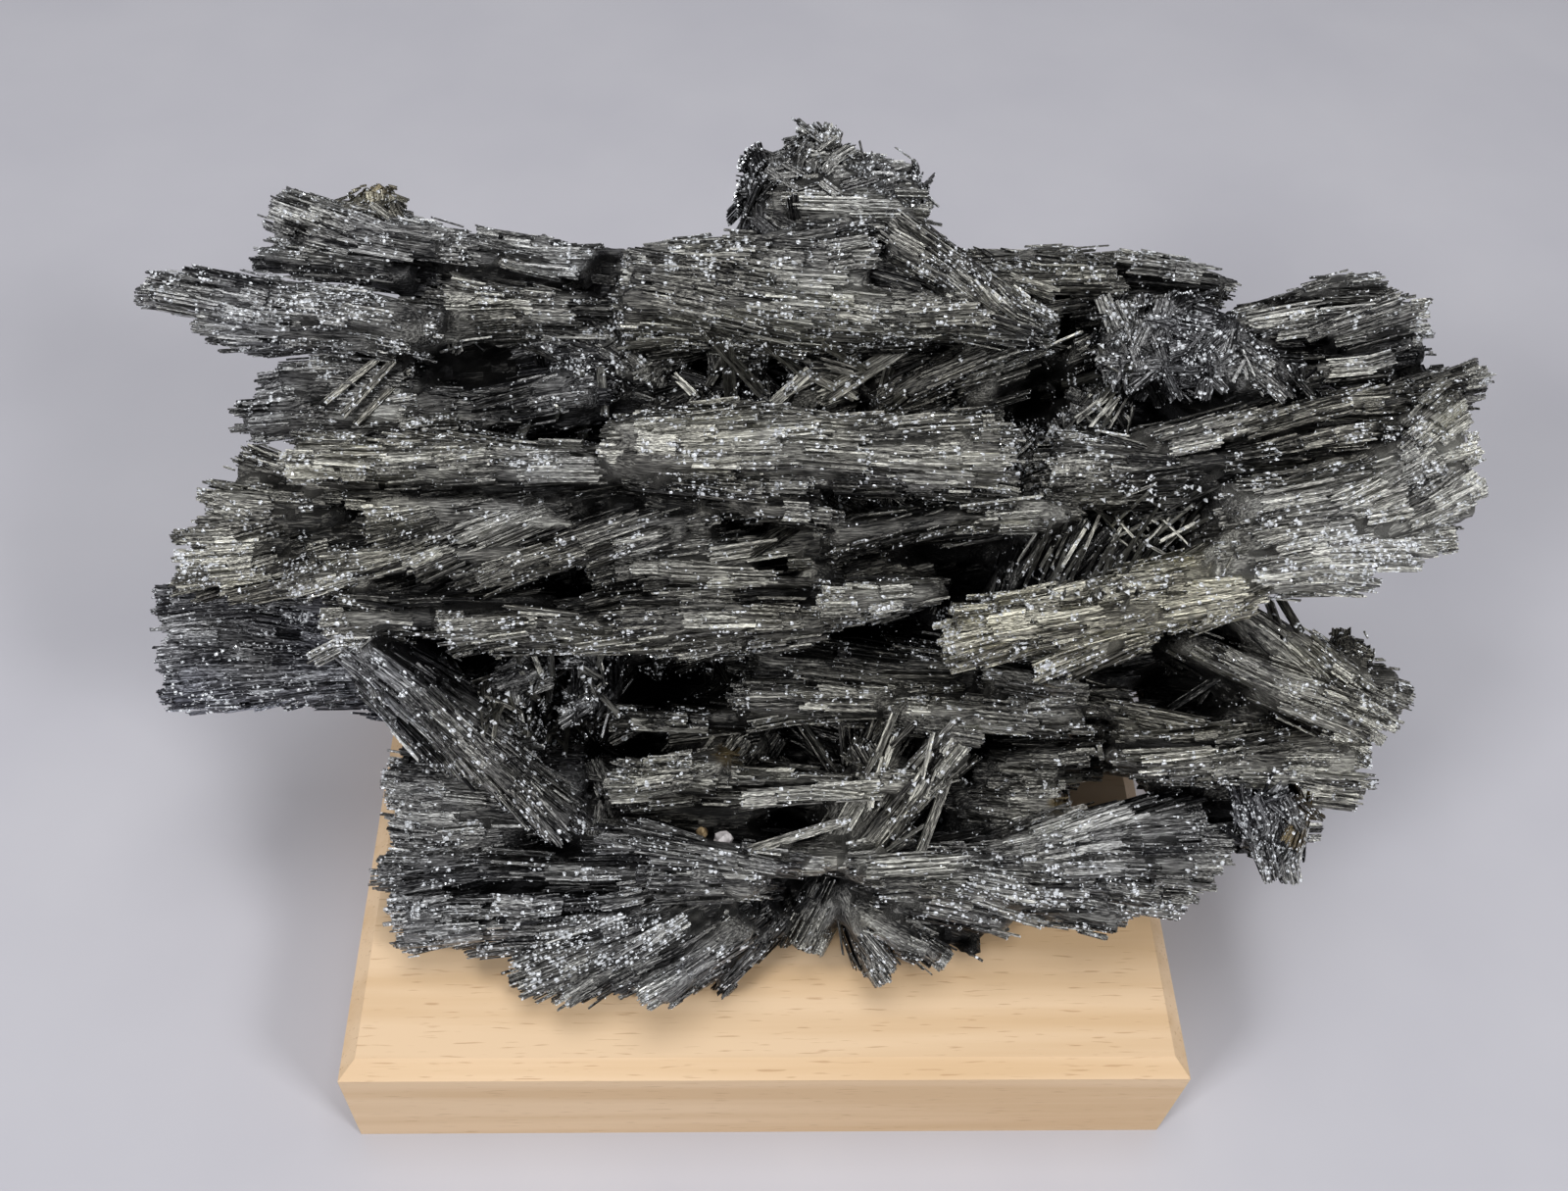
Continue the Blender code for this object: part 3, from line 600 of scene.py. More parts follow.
# Lights: name, place, size, power. Metres and watts.
LIGHTS = (
    ("overhead", (0, 0, 0.9), 0.5, 3.5),
    ("left", (-0.55, -0.5, 0.6), 0.2, 4.2),
    ("right", (0.55, -0.5, 0.65), 0.2, 3.6),
)
LIGHT_AIM = Vector((0, 0.01, 0.04))
ROOM_LIGHT = 0.4
FLOOR = 2

MATH = "ShaderNodeMath"
VECTOR_MATH = "ShaderNodeVectorMath"
NOISE = "ShaderNodeTexNoise"
RAMP = "ShaderNodeValToRGB"
MIX = "ShaderNodeMix"
MAP_RANGE = "ShaderNodeMapRange"
MAPPING = "ShaderNodeMapping"
BUMP = "ShaderNodeBump"
ATTRIBUTE = "ShaderNodeAttribute"
COORDINATES = "ShaderNodeTexCoord"
NAMED = "GeometryNodeInputNamedAttribute"
SCATTER = "GeometryNodeDistributePointsOnFaces"
RANDOM = "FunctionNodeRandomValue"


def linear(code):
    """An sRGB hex colour as linear red, green, blue and alpha."""
    shares = [int(code[i : i + 2], 16) / 255 for i in (1, 3, 5)]
    return [s / 12.92 if s <= 0.04045 else ((s + 0.055) / 1.055) ** 2.4 for s in shares] + [1]


def feed(node, inputs):
    """Sets a node's inputs, given in order or by name, to values, or links them to nodes or sockets."""
    known = {socket.identifier: socket for socket in node.inputs}
    pairs = inputs.items() if isinstance(inputs, dict) else enumerate(inputs)
    for key, value in pairs:
        socket = known[key] if key in known else node.inputs[key]
        if isinstance(value, bpy.types.Node):
            value = next(output for output in value.outputs if output.enabled)
        if isinstance(value, bpy.types.NodeSocket):
            node.id_data.links.new(value, socket)
        else:
            socket.default_value = value


def add(tree, kind, inputs=(), stops=(), **settings):
    """Adds a node of this kind with its settings, its inputs and, on a colour ramp, its stops."""
    node = tree.nodes.new(kind)
    for name, value in settings.items():
        setattr(node, name, value)
    for _ in stops[2:]:
        node.color_ramp.elements.new(0.5)
    for number, (place, colour) in enumerate(stops):
        node.color_ramp.elements[number].position = place
        node.color_ramp.elements[number].color = colour
    feed(node, inputs)
    return node


def weighted(tree, total, *terms):
    """The total so far, with each value added to it times its weight."""
    for value, weight in terms:
        total = add(tree, MATH, (value, weight, total), operation="MULTIPLY_ADD")
    return total


def swatch(name, description, code):
    """A colour that a user may change."""
    return FloatVectorProperty(
        name=name, description=description, subtype="COLOR", size=4, default=linear(code)
    )


class NeedleSizes(bpy.types.PropertyGroup):
    """Sizes of the needle cover. The amounts are for each square millimetre."""

    reach: FloatProperty(
        name="Reach", description="Length of a whole sheaf", default=9 * MM, unit="LENGTH"
    )
    overshoot: FloatProperty(
        name="Overshoot",
        description="How far the longest sheaf passes its spray's end",
        default=0.8 * MM,
        unit="LENGTH",
    )
    sheaves: FloatProperty(name="Sheaves", description="Amount of long sheaves", default=0.19)
    scales: FloatProperty(name="Scales", description="Amount of short sheaves", default=0.13)
    strays: FloatProperty(name="Strays", description="Amount of single laths", default=0.14)
    crumbs: FloatProperty(name="Crumbs", description="Amount of broken grains", default=0.22)


class ZinkeniteColours(bpy.types.PropertyGroup):
    """Colours of zinkenite, from its darkest to its freshest faces. The darkest also carries the
    painted shade of closed places, and the last is the flat white of painted glints.
    """

    # The deep grey is reached by the darkest tones and by painted shade in closed places and hollows.
    deep: swatch("Deep", "Tarnished needles", "#29292a")
    dull: swatch("Dull", "Dull needles", "#737270")
    mean: swatch("Mean", "Most needles", "#acaca8")
    pale: swatch("Pale", "Fresh laths", "#dbdbd6")
    # Painted glint: flat white on some lath ends, on crumbs and on specks.
    painted_glint_white: swatch("Break", "Broken ends", "#f2f5f9")


class BlockColours(bpy.types.PropertyGroup):
    """Colours of the wooden block."""

    early: swatch("Early wood", "Pale bands", "#dfc29f")
    late: swatch("Late wood", "Darker bands", "#d2b28b")
    pore: swatch("Pores", "Open pores", "#9a7048")


def face_axes():
    """The display face's axes as the columns of a matrix."""
    turn = Matrix.Rotation(FACE_TURN, 3, "Z")
    lean = Matrix.Rotation(FACE_LEAN, 3, "X")
    roll = Matrix.Rotation(FACE_ROLL, 3, "Z")
    return np.array(turn @ lean @ roll)


FACE = face_axes()


def on_face(point):
    """A point of the display face's own frame, in the object's."""
    return FACE_CENTRE + FACE @ np.array(point, float)


def seen_on_plane(points):
    """Where points in millimetres are seen on the display plane: u and v of each."""
    ways = points - EYE
    normal = FACE[:, 2]
    reach = ((FACE_CENTRE - EYE) @ normal) / (ways @ normal)
    flat = EYE + ways * reach[:, None] - FACE_CENTRE
    return flat @ FACE[:, :2]


def unit(vector):
    """The vector at length 1."""
    return vector / np.linalg.norm(vector)


def sampled(kind, places):
    """A noise of this kind at each place."""
    return np.array([kind(Vector(place)) for place in places])


def plain_object(name, data):
    """An object in the scene with this data."""
    obj = bpy.data.objects.new(name, data)
    bpy.context.scene.collection.objects.link(obj)
    return obj


def evaluated_mesh(obj):
    """The mesh that the object's modifiers give. The object is removed."""
    graph = bpy.context.evaluated_depsgraph_get()
    mesh = bpy.data.meshes.new_from_object(obj.evaluated_get(graph))
    bpy.data.objects.remove(obj)
    return mesh


def mesh_from(bm, name, material=None):
    """A mesh of what was built, in this material."""
    mesh = bpy.data.meshes.new(name)
    bm.to_mesh(mesh)
    bm.free()
    if material:
        mesh.materials.append(material)
    return mesh


def vertex_values(mesh, name):
    """A vector of every vertex, as rows."""
    values = np.empty(len(mesh.vertices) * 3, np.float32)
    mesh.vertices.foreach_get(name, values)
    return values.reshape(-1, 3)


def search_tree(mesh):
    """A tree that rays are cast against."""
    corners = [vert.co for vert in mesh.vertices]
    return BVHTree.FromPolygons(corners, [face.vertices for face in mesh.polygons])


def write(mesh, name, values):
    """Stores one value or vector for each vertex under this name."""
    kind, field = ("FLOAT", "value") if values.ndim == 1 else ("FLOAT_VECTOR", "vector")
    attribute = mesh.attributes.new(name, kind, "POINT")
    attribute.data.foreach_set(field, values.astype(np.float32).ravel())


# ---- the core ----

Blade = namedtuple("Blade", "group root axis across out length widths")


def ring_shape(count):
    """The spray's section as this many points, evenly spaced round it."""
    corners = np.array(SECTION + SECTION[:1])
    steps = np.linalg.norm(np.diff(corners, axis=0), axis=1)
    places = np.concatenate(([0], np.cumsum(steps)))
    at = np.linspace(0, places[-1], count, endpoint=False)
    return np.column_stack([np.interp(at, places, corners[:, k]) for k in (0, 1)])


def back_sprays():
    """The rows of sprays across the back, their roots at the left and the right by turns."""
    chance = random.Random("back")
    for row, (height, low, high, back) in enumerate(BACK_ROWS):
        count = round((high - low) / BACK_PITCH)
        pitch = (high - low) / count
        for number in range(count):
            left = low + number * pitch - BACK_OVERLAP
            right = low + (number + 1) * pitch + BACK_OVERLAP
            if row % 2:
                left, right = right, left
            root_stray = chance.uniform(-BACK_ROOT_STRAY, BACK_ROOT_STRAY)
            tip_stray = chance.uniform(-BACK_TIP_STRAY, BACK_TIP_STRAY)
            root = np.array((left, back - BACK_ROOT_IN, height + root_stray))
            tip = np.array((right, back + BACK_TIP_OUT, height + tip_stray))
            widths = (BACK_WIDTH, chance.uniform(*BACK_TIP_WIDTHS) * BACK_WIDTH)
            yield "back", root, tip, widths, BACK_DEPTHS, BACK_OUTWARD, 0


def flank_sprays():
    """The bundles that stick out of the left and the right flank."""
    chance = random.Random("flank")
    for side in (-1, 1):
        for y, z, reach in FLANK_BUNDLES:
            stray = [chance.uniform(-FLANK_STRAY, FLANK_STRAY) for _ in range(2)]
            root = np.array((side * reach * FLANK_ROOT_SHARE, y, z))
            tip = np.array((side * reach, y + stray[0], z + stray[1]))
            yield "flank", root, tip, FLANK_WIDTHS, FLANK_DEPTHS, FLANK_OUTWARD, 0.5


def all_sprays():
    """Every spray: group, root, tip, widths, depths, outward, and its lift as a share of its depth."""
    for group, rows in FACE_SPRAYS.items():
        for row in rows:
            yield group, on_face(row[:3]), on_face(row[3:6]), row[6:8], row[8:], FACE[:, 2], 0
    for foot, end, wide, high in END_ON_BUNDLES:
        yield "end_on", on_face(foot), on_face(end), (wide, wide), (high, high), FACE[:, 1], 0.5
    yield from back_sprays()
    yield from flank_sprays()


def tube_faces(count):
    """Faces of a closed tube of this many rings. The middles of its ends come after its rings."""
    faces = []
    for lower in range(0, (count - 1) * RING, RING):
        for i in range(RING):
            j = (i + 1) % RING
            faces.append((lower + i, lower + j, lower + RING + j, lower + RING + i))
    last = (count - 1) * RING
    middle = count * RING
    faces += [((i + 1) % RING, i, middle) for i in range(RING)]
    faces += [(last + i, last + (i + 1) % RING, middle + 1) for i in range(RING)]
    return faces


class Core:
    """The body under the needles: blades and lumps, and which of them each point belongs to."""

    def __init__(self):
        self.points = []
        self.faces = []
        self.owners = []
        self.blades = []
        self.chance = np.random.default_rng(RIB_SEED)

    def add_part(self, points, faces, blade):
        """Takes in the points and faces of one blade or lump."""
        first = len(self.points)
        self.points.extend(points)
        self.faces.extend(tuple(first + i for i in face) for face in faces)
        self.owners.extend([len(self.blades)] * len(points))
        self.blades.append(blade)

    def broken_rib(self, along):
        """How proud a rib stands at each place along it: level stretches with a step between them."""
        lengths = self.chance.uniform(*RIB_LENGTH, RIBS)
        ends = np.cumsum(lengths) - RIB_LENGTH[1] * self.chance.random()
        return self.chance.normal(0, RIB, RIBS + 1)[np.searchsorted(ends, along)]

    def sections(self, group, along, body, widths, depths, lift):
        """How far each point of each ring lies across its blade and out of it."""
        wide = widths[0] + (widths[1] - widths[0]) * along - 2 * CORE_THIN
        deep = depths[0] + (depths[1] - depths[0]) * along - CORE_THIN
        shape = ring_shape(RING)
        ribs = np.column_stack([self.broken_rib(along[:, 0] * body) for _ in range(RING)])
        side = wide * shape[:, 0] + ribs * np.sign(shape[:, 0])
        drop = deep * (shape[:, 1] + lift) - CORE_THIN + ribs
        if group not in BLUNT:
            drop -= ROOT_DIVE * np.clip(1 - along * body / ROOT_LENGTH, 0, 1)
        return side, drop

    def add_blade(self, group, root, tip, widths, depths, outward, lift):
        """One spray's body, a little thinner and shorter than the spray, with ribs along it."""
        axis = tip - root
        length = np.linalg.norm(axis)
        axis = axis / length
        across = unit(np.cross(outward, axis))
        out = np.cross(axis, across)
        body = length - CORE_SHORT
        count = max(3, round(body / STATION) + 1)
        along = np.linspace(0, 1, count)[:, None]
        side, drop = self.sections(group, along, body, widths, depths, lift)
        reach = np.repeat(along * body, RING, axis=1)
        if group != "end_on":
            reach[0] += self.chance.uniform(0, ROOT_RAGGED, RING)
            reach[-1] -= self.chance.uniform(0, TIP_RAGGED, RING)
        rings = root + reach[..., None] * axis + side[..., None] * across + drop[..., None] * out
        rings = rings.reshape(-1, 3)
        points = list(rings + sampled(noise.noise_vector, rings / WARP_SPAN) * WARP)
        points += [np.mean(ring, axis=0) for ring in (points[:RING], points[-RING:])]
        blade = Blade(group, root, axis, across, out, length, widths)
        self.add_part(points, tube_faces(count), blade)

    def add_lump(self, centre, half_sizes):
        """One rounded lump of the heart."""
        bm = bmesh.new()
        bmesh.ops.create_icosphere(bm, subdivisions=4, radius=1)
        points = [np.array(vert.co) * half_sizes + centre for vert in bm.verts]
        faces = [tuple(vert.index for vert in face.verts) for face in bm.faces]
        bm.free()
        lump = Blade("heart", np.array(centre, float), *np.eye(3), half_sizes[0], (1, 1))
        self.add_part(points, faces, lump)

    def mesh(self):
        """One closed skin round every blade and lump."""
        mesh = bpy.data.meshes.new("core")
        mesh.from_pydata([tuple(point * MM) for point in self.points], [], self.faces)
        bm = bmesh.new()
        bm.from_mesh(mesh)
        bmesh.ops.recalc_face_normals(bm, faces=bm.faces)
        bm.to_mesh(mesh)
        bm.free()
        obj = plain_object("core", mesh)
        skin = obj.modifiers.new("skin", "REMESH")
        skin.mode = "VOXEL"
        skin.voxel_size = VOXEL * MM
        return evaluated_mesh(obj)

    def nearest(self, points):
        """The number of the blade or lump that is nearest each point."""
        tree = KDTree(len(self.points))
        for index, point in enumerate(self.points):
            tree.insert(Vector(point), index)
        tree.balance()
        return np.array([self.owners[tree.find(Vector(point))[1]] for point in points])


def probes(count):
    """Directions spread evenly over the half sphere above +Z."""
    rays = []
    for k in range(count):
        z = (k + 0.5) / count
        turn = k * math.pi * (3 - math.sqrt(5))
        r = math.sqrt(1 - z * z)
        rays.append(Vector((r * math.cos(turn), r * math.sin(turn), z)))
    return rays


def openness(mesh, rays=PROBE_RAYS):
    """How open each vertex lies, 0 to 1, and whether nothing hides it from the eye."""
    tree = search_tree(mesh)
    eye = Vector(EYE * MM)
    ways = probes(rays)
    shares, seen = [], []
    for vert in mesh.vertices:
        start = vert.co + vert.normal * PROBE_START * MM
        turn = vert.normal.to_track_quat("Z", "Y")
        free = sum(tree.ray_cast(start, turn @ ray, PROBE_REACH * MM)[0] is None for ray in ways)
        shares.append(free / max(rays, 1))
        seen.append(tree.ray_cast(start, (eye - start).normalized())[0] is None)
    return np.array(shares), np.array(seen)


def spots(places, table, grow=1.0):
    """How far inside any spot of the table each place lies, from 0 at its rim to 1."""
    inside = np.zeros(len(places))
    for spot in table:
        radii = np.array((spot[2], spot[-1])) * grow
        far = np.linalg.norm((places - spot[:2]) / radii, axis=1)
        inside = np.maximum(inside, np.clip(SPOT_EDGE - SPOT_EDGE * far, 0, 1))
    return inside


def near_lines(places, table):
    """How near any line of the table each place lies, from 0 at its rim to 1 on it."""
    inside = np.zeros(len(places))
    for u0, v0, u1, v1, half in table:
        start, way = np.array((u0, v0)), np.array((u1 - u0, v1 - v0))
        share = np.clip(((places - start) @ way) / (way @ way), 0, 1)
        far = np.linalg.norm(places - start - share[:, None] * way, axis=1)
        taper = half * (LINE_TAPER[0] - LINE_TAPER[1] * np.abs(share - 0.5))
        inside = np.maximum(inside, np.clip(LINE_EDGE - far / taper, 0, 1))
    return inside


def room_before(places, ways, table):
    """How far each place can go along its way on the display plane before it enters a spot."""
    free = np.full(len(places), np.inf)
    for u, v, wide, high in table:
        start = (places - (u, v)) / (wide, high)
        step = ways / (wide, high)
        a = (step * step).sum(axis=1)
        b = (start * step).sum(axis=1)
        c = (start * start).sum(axis=1) - 1
        inside = np.maximum(b * b - a * c, 0)
        reach = (-b - np.sqrt(inside)) / np.maximum(a, 1e-9)
        hits = (b * b > a * c) & (reach > 0)
        free = np.where(hits, np.minimum(free, reach), free)
    return free


def carve(mesh):
    """Presses the hollows and crevices into the core, away from the eye."""
    points = vertex_values(mesh, "co").astype(float) / MM
    seen = openness(mesh, rays=0)[1]
    ways = (points - EYE) / np.linalg.norm(points - EYE, axis=1)[:, None]
    places = seen_on_plane(points)
    depth = HOLLOW_DEPTH * np.sqrt(spots(places, HOLLOWS))
    depth = np.maximum(depth, CREVICE_DEPTH * near_lines(places, CREVICES)) * seen
    points += ways * depth[:, None]
    mesh.vertices.foreach_set("co", (points * MM).astype(np.float32).ravel())
    mesh.update()


def slanted(fibre, places, seen):
    """The fibres turned towards the slants of the table, and how slanted each is, 0 to 1."""
    most = np.zeros(len(places))
    for u, v, wide, high, angle in SLANTS:
        share = spots(places, ((u, v, wide, high),)) * seen
        way = FACE @ (math.cos(math.radians(angle)), math.sin(math.radians(angle)), 0)
        way = np.sign(fibre @ way)[:, None] * way
        fibre = fibre + (way - fibre) * share[:, None]
        most = np.maximum(most, share)
    return fibre, most


class Dressing:
    """What each point of the core tells its needles and materials."""

    def __init__(self, mesh, core):
        self.mesh = mesh
        self.points = vertex_values(mesh, "co") / MM
        self.normals = vertex_values(mesh, "normal")
        self.owner = core.nearest(self.points)
        self.blades = len(core.blades)
        self.own = Blade(*(np.array(values)[self.owner] for values in zip(*core.blades)))
        away = self.points - self.own.root
        for name, way in (("x", self.own.across), ("y", self.own.out), ("along", self.own.axis)):
            setattr(self, name, (away * way).sum(axis=1))
        self.share = np.clip(self.along / self.own.length, 0, 1)
        self.widening = self.own.widths[:, 1] - self.own.widths[:, 0]
        self.wide = self.own.widths[:, 0] + self.widening * self.share
        self.places = seen_on_plane(self.points)
        self.open, self.seen = openness(mesh)
        self.hollow = np.maximum(spots(self.places, HOLLOWS), near_lines(self.places, CREVICES))
        self.hollow *= self.seen
        self.wild, self.short = np.array([TANGLE.get(group, (0, 0)) for group in self.own.group]).T
        facing = np.abs((self.normals * self.own.axis).sum(axis=1))
        self.broken = np.clip(facing * BROKEN[0] + BROKEN[1], 0, 1)
        self.fibre, self.slant = self.fibres()

    def fibres(self):
        """Which way the needles lie, along their blade and spreading, and how slanted they are."""
        spread = self.widening / self.own.length + SPLAY * self.share
        fibre = self.own.axis + self.own.across * (self.x / self.wide * spread)[:, None]
        fibre, slant = slanted(fibre, self.places, self.seen)
        fibre = fibre + sampled(noise.noise_vector, self.points / SWIRL_SPAN) * SWIRL
        eddies = sampled(noise.noise_vector, self.points / TANGLE_SPAN)
        eddies -= self.normals * (eddies * self.normals).sum(axis=1)[:, None]
        eddies /= np.linalg.norm(eddies, axis=1)[:, None] + 1e-6
        return np.where(self.wild[:, None] > 0, eddies, fibre), slant

    def lay(self):
        """Each point's place in its own blade, far from every other blade's."""
        return np.column_stack(
            (self.x / self.wide * self.own.widths.max(axis=1) + self.owner * LANE, self.y, self.along)
        )

    def weight(self):
        """How thickly the needles stand."""
        weight = (CLOSED + (1 - CLOSED) * self.open) * np.where(self.seen, 1, UNSEEN)
        weight *= 1 - np.clip(self.hollow * HOLLOW_RIM, 0, 1)
        weight *= 1 - spots(self.places, GRAIN_SITES, grow=GRAIN_CLEARING)
        weight *= np.where((self.wild > 0) & self.seen, TANGLED, 1)
        weight[self.points[:, 2] < REST_HEIGHT + FOOT_BAND] = 0
        return weight * (1 + SLANTED * self.slant)

    def room(self):
        """How far a lath may reach before its blade's ragged end or a hollow."""
        lanes = np.column_stack((self.x / LOBE, self.owner * LOBE_LANE, self.y / LOBE_DEPTH))
        scallop = SCALLOP * (SCALLOP_SHIFT + sampled(noise.noise, lanes))
        rounded = ROUNDED * np.minimum(2 * self.x / self.wide, 1) ** 2
        end = self.own.length - self.along - scallop - rounded
        free = room_before(self.places, self.fibre @ FACE[:, :2], HOLLOWS + GRAIN_SITES)
        room = np.minimum(end, free - HOLLOW_GAP)
        room = np.where(self.slant > MARKED, np.minimum(room, SLANTED_LENGTH), room)
        room = np.where(self.broken > MARKED, np.maximum(room, STUB), room)
        return np.where(self.wild > 0, self.short, room)

    def glitter(self):
        """How many painted glints and crumbs go here: most on a blade's edges and tip, and in the spots.
        """
        side = np.abs(self.x / self.wide) * RIM_SIDE[0] + RIM_SIDE[1]
        tip = self.along / self.own.length * RIM_TIP[0] + RIM_TIP[1]
        grit = np.clip(GRIT_SHARE + sampled(noise.noise, self.points / GRIT_SPAN), 0, 1)
        sparkle = np.clip(np.maximum(side, tip), 0, 1) * grit
        sparkle += TANGLE_SPARKLE * (self.wild > 0) * (self.own.group != "heart")
        return np.clip(spots(self.places, GLITTER) + sparkle, 0, 1) * self.seen

    def shade(self):
        """How much lighter this place is: its group, its blade and the streak that it lies in."""
        x, y, along = self.x / STREAK[0], self.y / STREAK[0], self.along / STREAK[1]
        streaks = sampled(noise.noise, np.column_stack((x + self.owner * LANE, y, along)))
        chance = np.random.default_rng(SHADE_SEED)
        own = chance.uniform(-OWN_SHADE, OWN_SHADE, self.blades)[self.owner]
        return self.looks(0) + own + streaks * STREAK_CONTRAST

    def looks(self, column):
        """A number of each point's group."""
        return np.array([LOOKS[group][column] for group in self.own.group])

    def write(self):
        """Stores everything on the mesh."""
        # Painted shade: darker where few probe rays get out, and in the hollows and crevices.
        shadow = np.clip(SHADOW[0] * (1 - self.open) + SHADOW[1] + self.hollow, 0, 1)
        values = {
            "fibre": self.fibre,
            "lay": self.lay(),
            "room": self.room(),
            "weight": self.weight(),
            "wild": self.wild,
            "broken": self.broken * (1 - self.wild),
            "glitter": self.glitter(),
            "stain": spots(self.places, STAINS) * self.seen,
            "shadow": shadow,
            "shade": self.shade(),
            "warmth": self.looks(1),
        }
        for name, value in values.items():
            write(self.mesh, name, value)
        pieces = {group: number for number, names in enumerate(PIECES.values()) for group in names}
        region = np.array([pieces[group] for group in self.own.group], np.int32)
        self.mesh.attributes.new("piece", "INT", "POINT").data.foreach_set("value", region)


def dressed_core():
    """The core's mesh with the attributes that its needles and both materials read."""
    noise.seed_set(NOISE_SEED)
    core = Core()
    for spray in all_sprays():
        core.add_blade(*spray)
    for centre, half_sizes in HEART_LUMPS:
        core.add_lump(centre, half_sizes)
    mesh = core.mesh()
    carve(mesh)
    for vert in mesh.vertices:
        vert.co.z = max(vert.co.z, REST_HEIGHT * MM)
    Dressing(mesh, core).write()
    return mesh


# ---- needles ----


def new_layers(bm):
    """The layers that laths and crumbs write: lengthwise coordinates, own tone, ends with a painted
    glint.
    """
    return {
        "strand": bm.loops.layers.uv.new("strand"),
        "tone": bm.faces.layers.float.new("tone"),
        "tip": bm.faces.layers.float.new("tip"),
    }


def lath_ring(bm, frame_axes, size, sides, roll, reach, cut):
    """One end of a lath: its corners, cut off at a slant."""
    centre, ax, ay, az = frame_axes
    ring = []
    for k in range(sides):
        angle = roll + math.tau * k / sides
        dx = math.cos(angle) * size[0] / 2
        dy = math.sin(angle) * size[1] / 2
        place = centre + ax * dx + ay * dy + az * (reach + cut * dx)
        ring.append(bm.verts.new(Vector(place) * MM))
    return ring


def prism(bm, layers, sides, frame_axes, size, ends, cuts, roll, tone):
    """A straight lath along the frame's third axis, from ends[0] to ends[1], with broken ends."""
    lower, upper = (
        lath_ring(bm, frame_axes, size, sides, roll, reach, cut) for reach, cut in zip(ends, cuts)
    )
    shift_u, shift_v = (tone * shift for shift in STRAND_SHIFT)
    faces = []
    for k in range(sides):
        n = (k + 1) % sides
        face = bm.faces.new((lower[k], lower[n], upper[n], upper[k]))
        for loop, (u, v) in zip(face.loops, ((k, 0), (k + 1, 0), (k + 1, 1), (k, 1))):
            loop[layers["strand"]].uv = (u * size[0] + shift_u, ends[v] + shift_v)
        faces.append(face)
    caps = [bm.faces.new(upper), bm.faces.new(lower[::-1])]
    # Some end caps get the painted glint's flat white.
    flash = float(math.modf(tone * FLASH_CHANCES)[0] < FLASH_SHARE)
    for face in faces + caps:
        face[layers["tone"]] = tone
        face[layers["tip"]] = flash * (face in caps)


def crumb(bm, layers, centre, size, chance):
    """A broken chip: four faces in the painted glint's flat white."""
    verts = []
    for corner in CRUMB_CORNERS:
        place = [c + chance.uniform(*CRUMB_REACH) * size * way for c, way in zip(centre, corner)]
        verts.append(bm.verts.new(Vector(place) * MM))
    tone = chance.random()
    for a, b, c in ((0, 2, 1), (0, 3, 2), (0, 1, 3), (1, 2, 3)):
        face = bm.faces.new((verts[a], verts[b], verts[c]))
        face[layers["tone"]] = tone
        face[layers["tip"]] = 1


def drawer(chance, ranges):
    """A function that draws from the range of that name."""
    return lambda name: chance.uniform(*ranges[name])


def toned(level, stray):
    """A tone this far from the level, kept from 0 to 1."""
    return min(1, max(0, level + stray))


def sheaf(bm, layers, chance, reach):
    """A thin flat sheaf of parallel laths whose ends break off raggedly."""
    draw = drawer(chance, SHEAF)
    count = chance.choice(SHEAF_COUNTS)
    width = count * draw("pitch")
    level = draw("level")
    step = draw("first step")
    for k in range(count):
        if chance.random() < STEP_CHANCE:
            step = draw("step")
        share = (k + 0.5) / count - 0.5
        x = share * width + draw("shift")
        y = draw("depth") - share * share * SHEAF_CURVE
        size = (width / count * draw("width"), draw("thickness"))
        end = reach * step * draw("end")
        ends = (-reach * draw("root"), end)
        tone = toned(level, draw("tone"))
        roll = -math.pi / 2 + draw("roll")
        frame_axes = (np.array((x, y, 0)), *UPRIGHT)
        cuts = (draw("lower cut"), draw("upper cut"))
        prism(bm, layers, 3, frame_axes, size, ends, cuts, roll, tone)
        if chance.random() < CRUMB_CHANCE:
            crumb(bm, layers, (x, y + CRUMB_OUT, end - CRUMB_BACK), draw("crumb"), chance)


def lath(bm, layers, chance, reach):
    """One lath with a square section."""
    draw = drawer(chance, LATH)
    size = (draw("width"), draw("thickness"))
    ends = (-LATH_ROOT * reach, reach * draw("length"))
    cuts = (draw("lower cut"), draw("upper cut"))
    frame_axes = (np.zeros(3), *UPRIGHT)
    prism(bm, layers, 4, frame_axes, size, ends, cuts, math.pi / 4, chance.random())


def chip(bm, layers, chance, reach):
    """One crumb of unit size, whatever the reach."""
    crumb(bm, layers, (0, 0, 0), 1, chance)


# What makes each collection of pieces, and how many different ones it holds.
MAKERS = {"Sheaves": (sheaf, 16), "Scales": (sheaf, 10), "Strays": (lath, 8), "Crumbs": (chip, 6)}


def variants(name, maker, count, reach):
    """A collection of this many different meshes by the maker."""
    collection = bpy.data.collections.new(name)
    for number in range(count):
        bm = bmesh.new()
        maker(bm, new_layers(bm), random.Random(f"{name} {number}"), reach)
        mesh = mesh_from(bm, f"{name}_{number}")
        collection.objects.link(bpy.data.objects.new(mesh.name, mesh))
    return collection


def instances(tree, points, collection, rotation, scale):
    """One piece of the collection on each point, each by chance. Returns their node."""
    inputs = {"Collection": collection, "Separate Children": True, "Reset Children": True}
    pieces = add(tree, "GeometryNodeCollectionInfo", inputs)
    inputs = {"Points": points, "Instance": pieces, "Pick Instance": True}
    inputs |= {"Rotation": rotation, "Scale": scale}
    return add(tree, "GeometryNodeInstanceOnPoints", inputs)


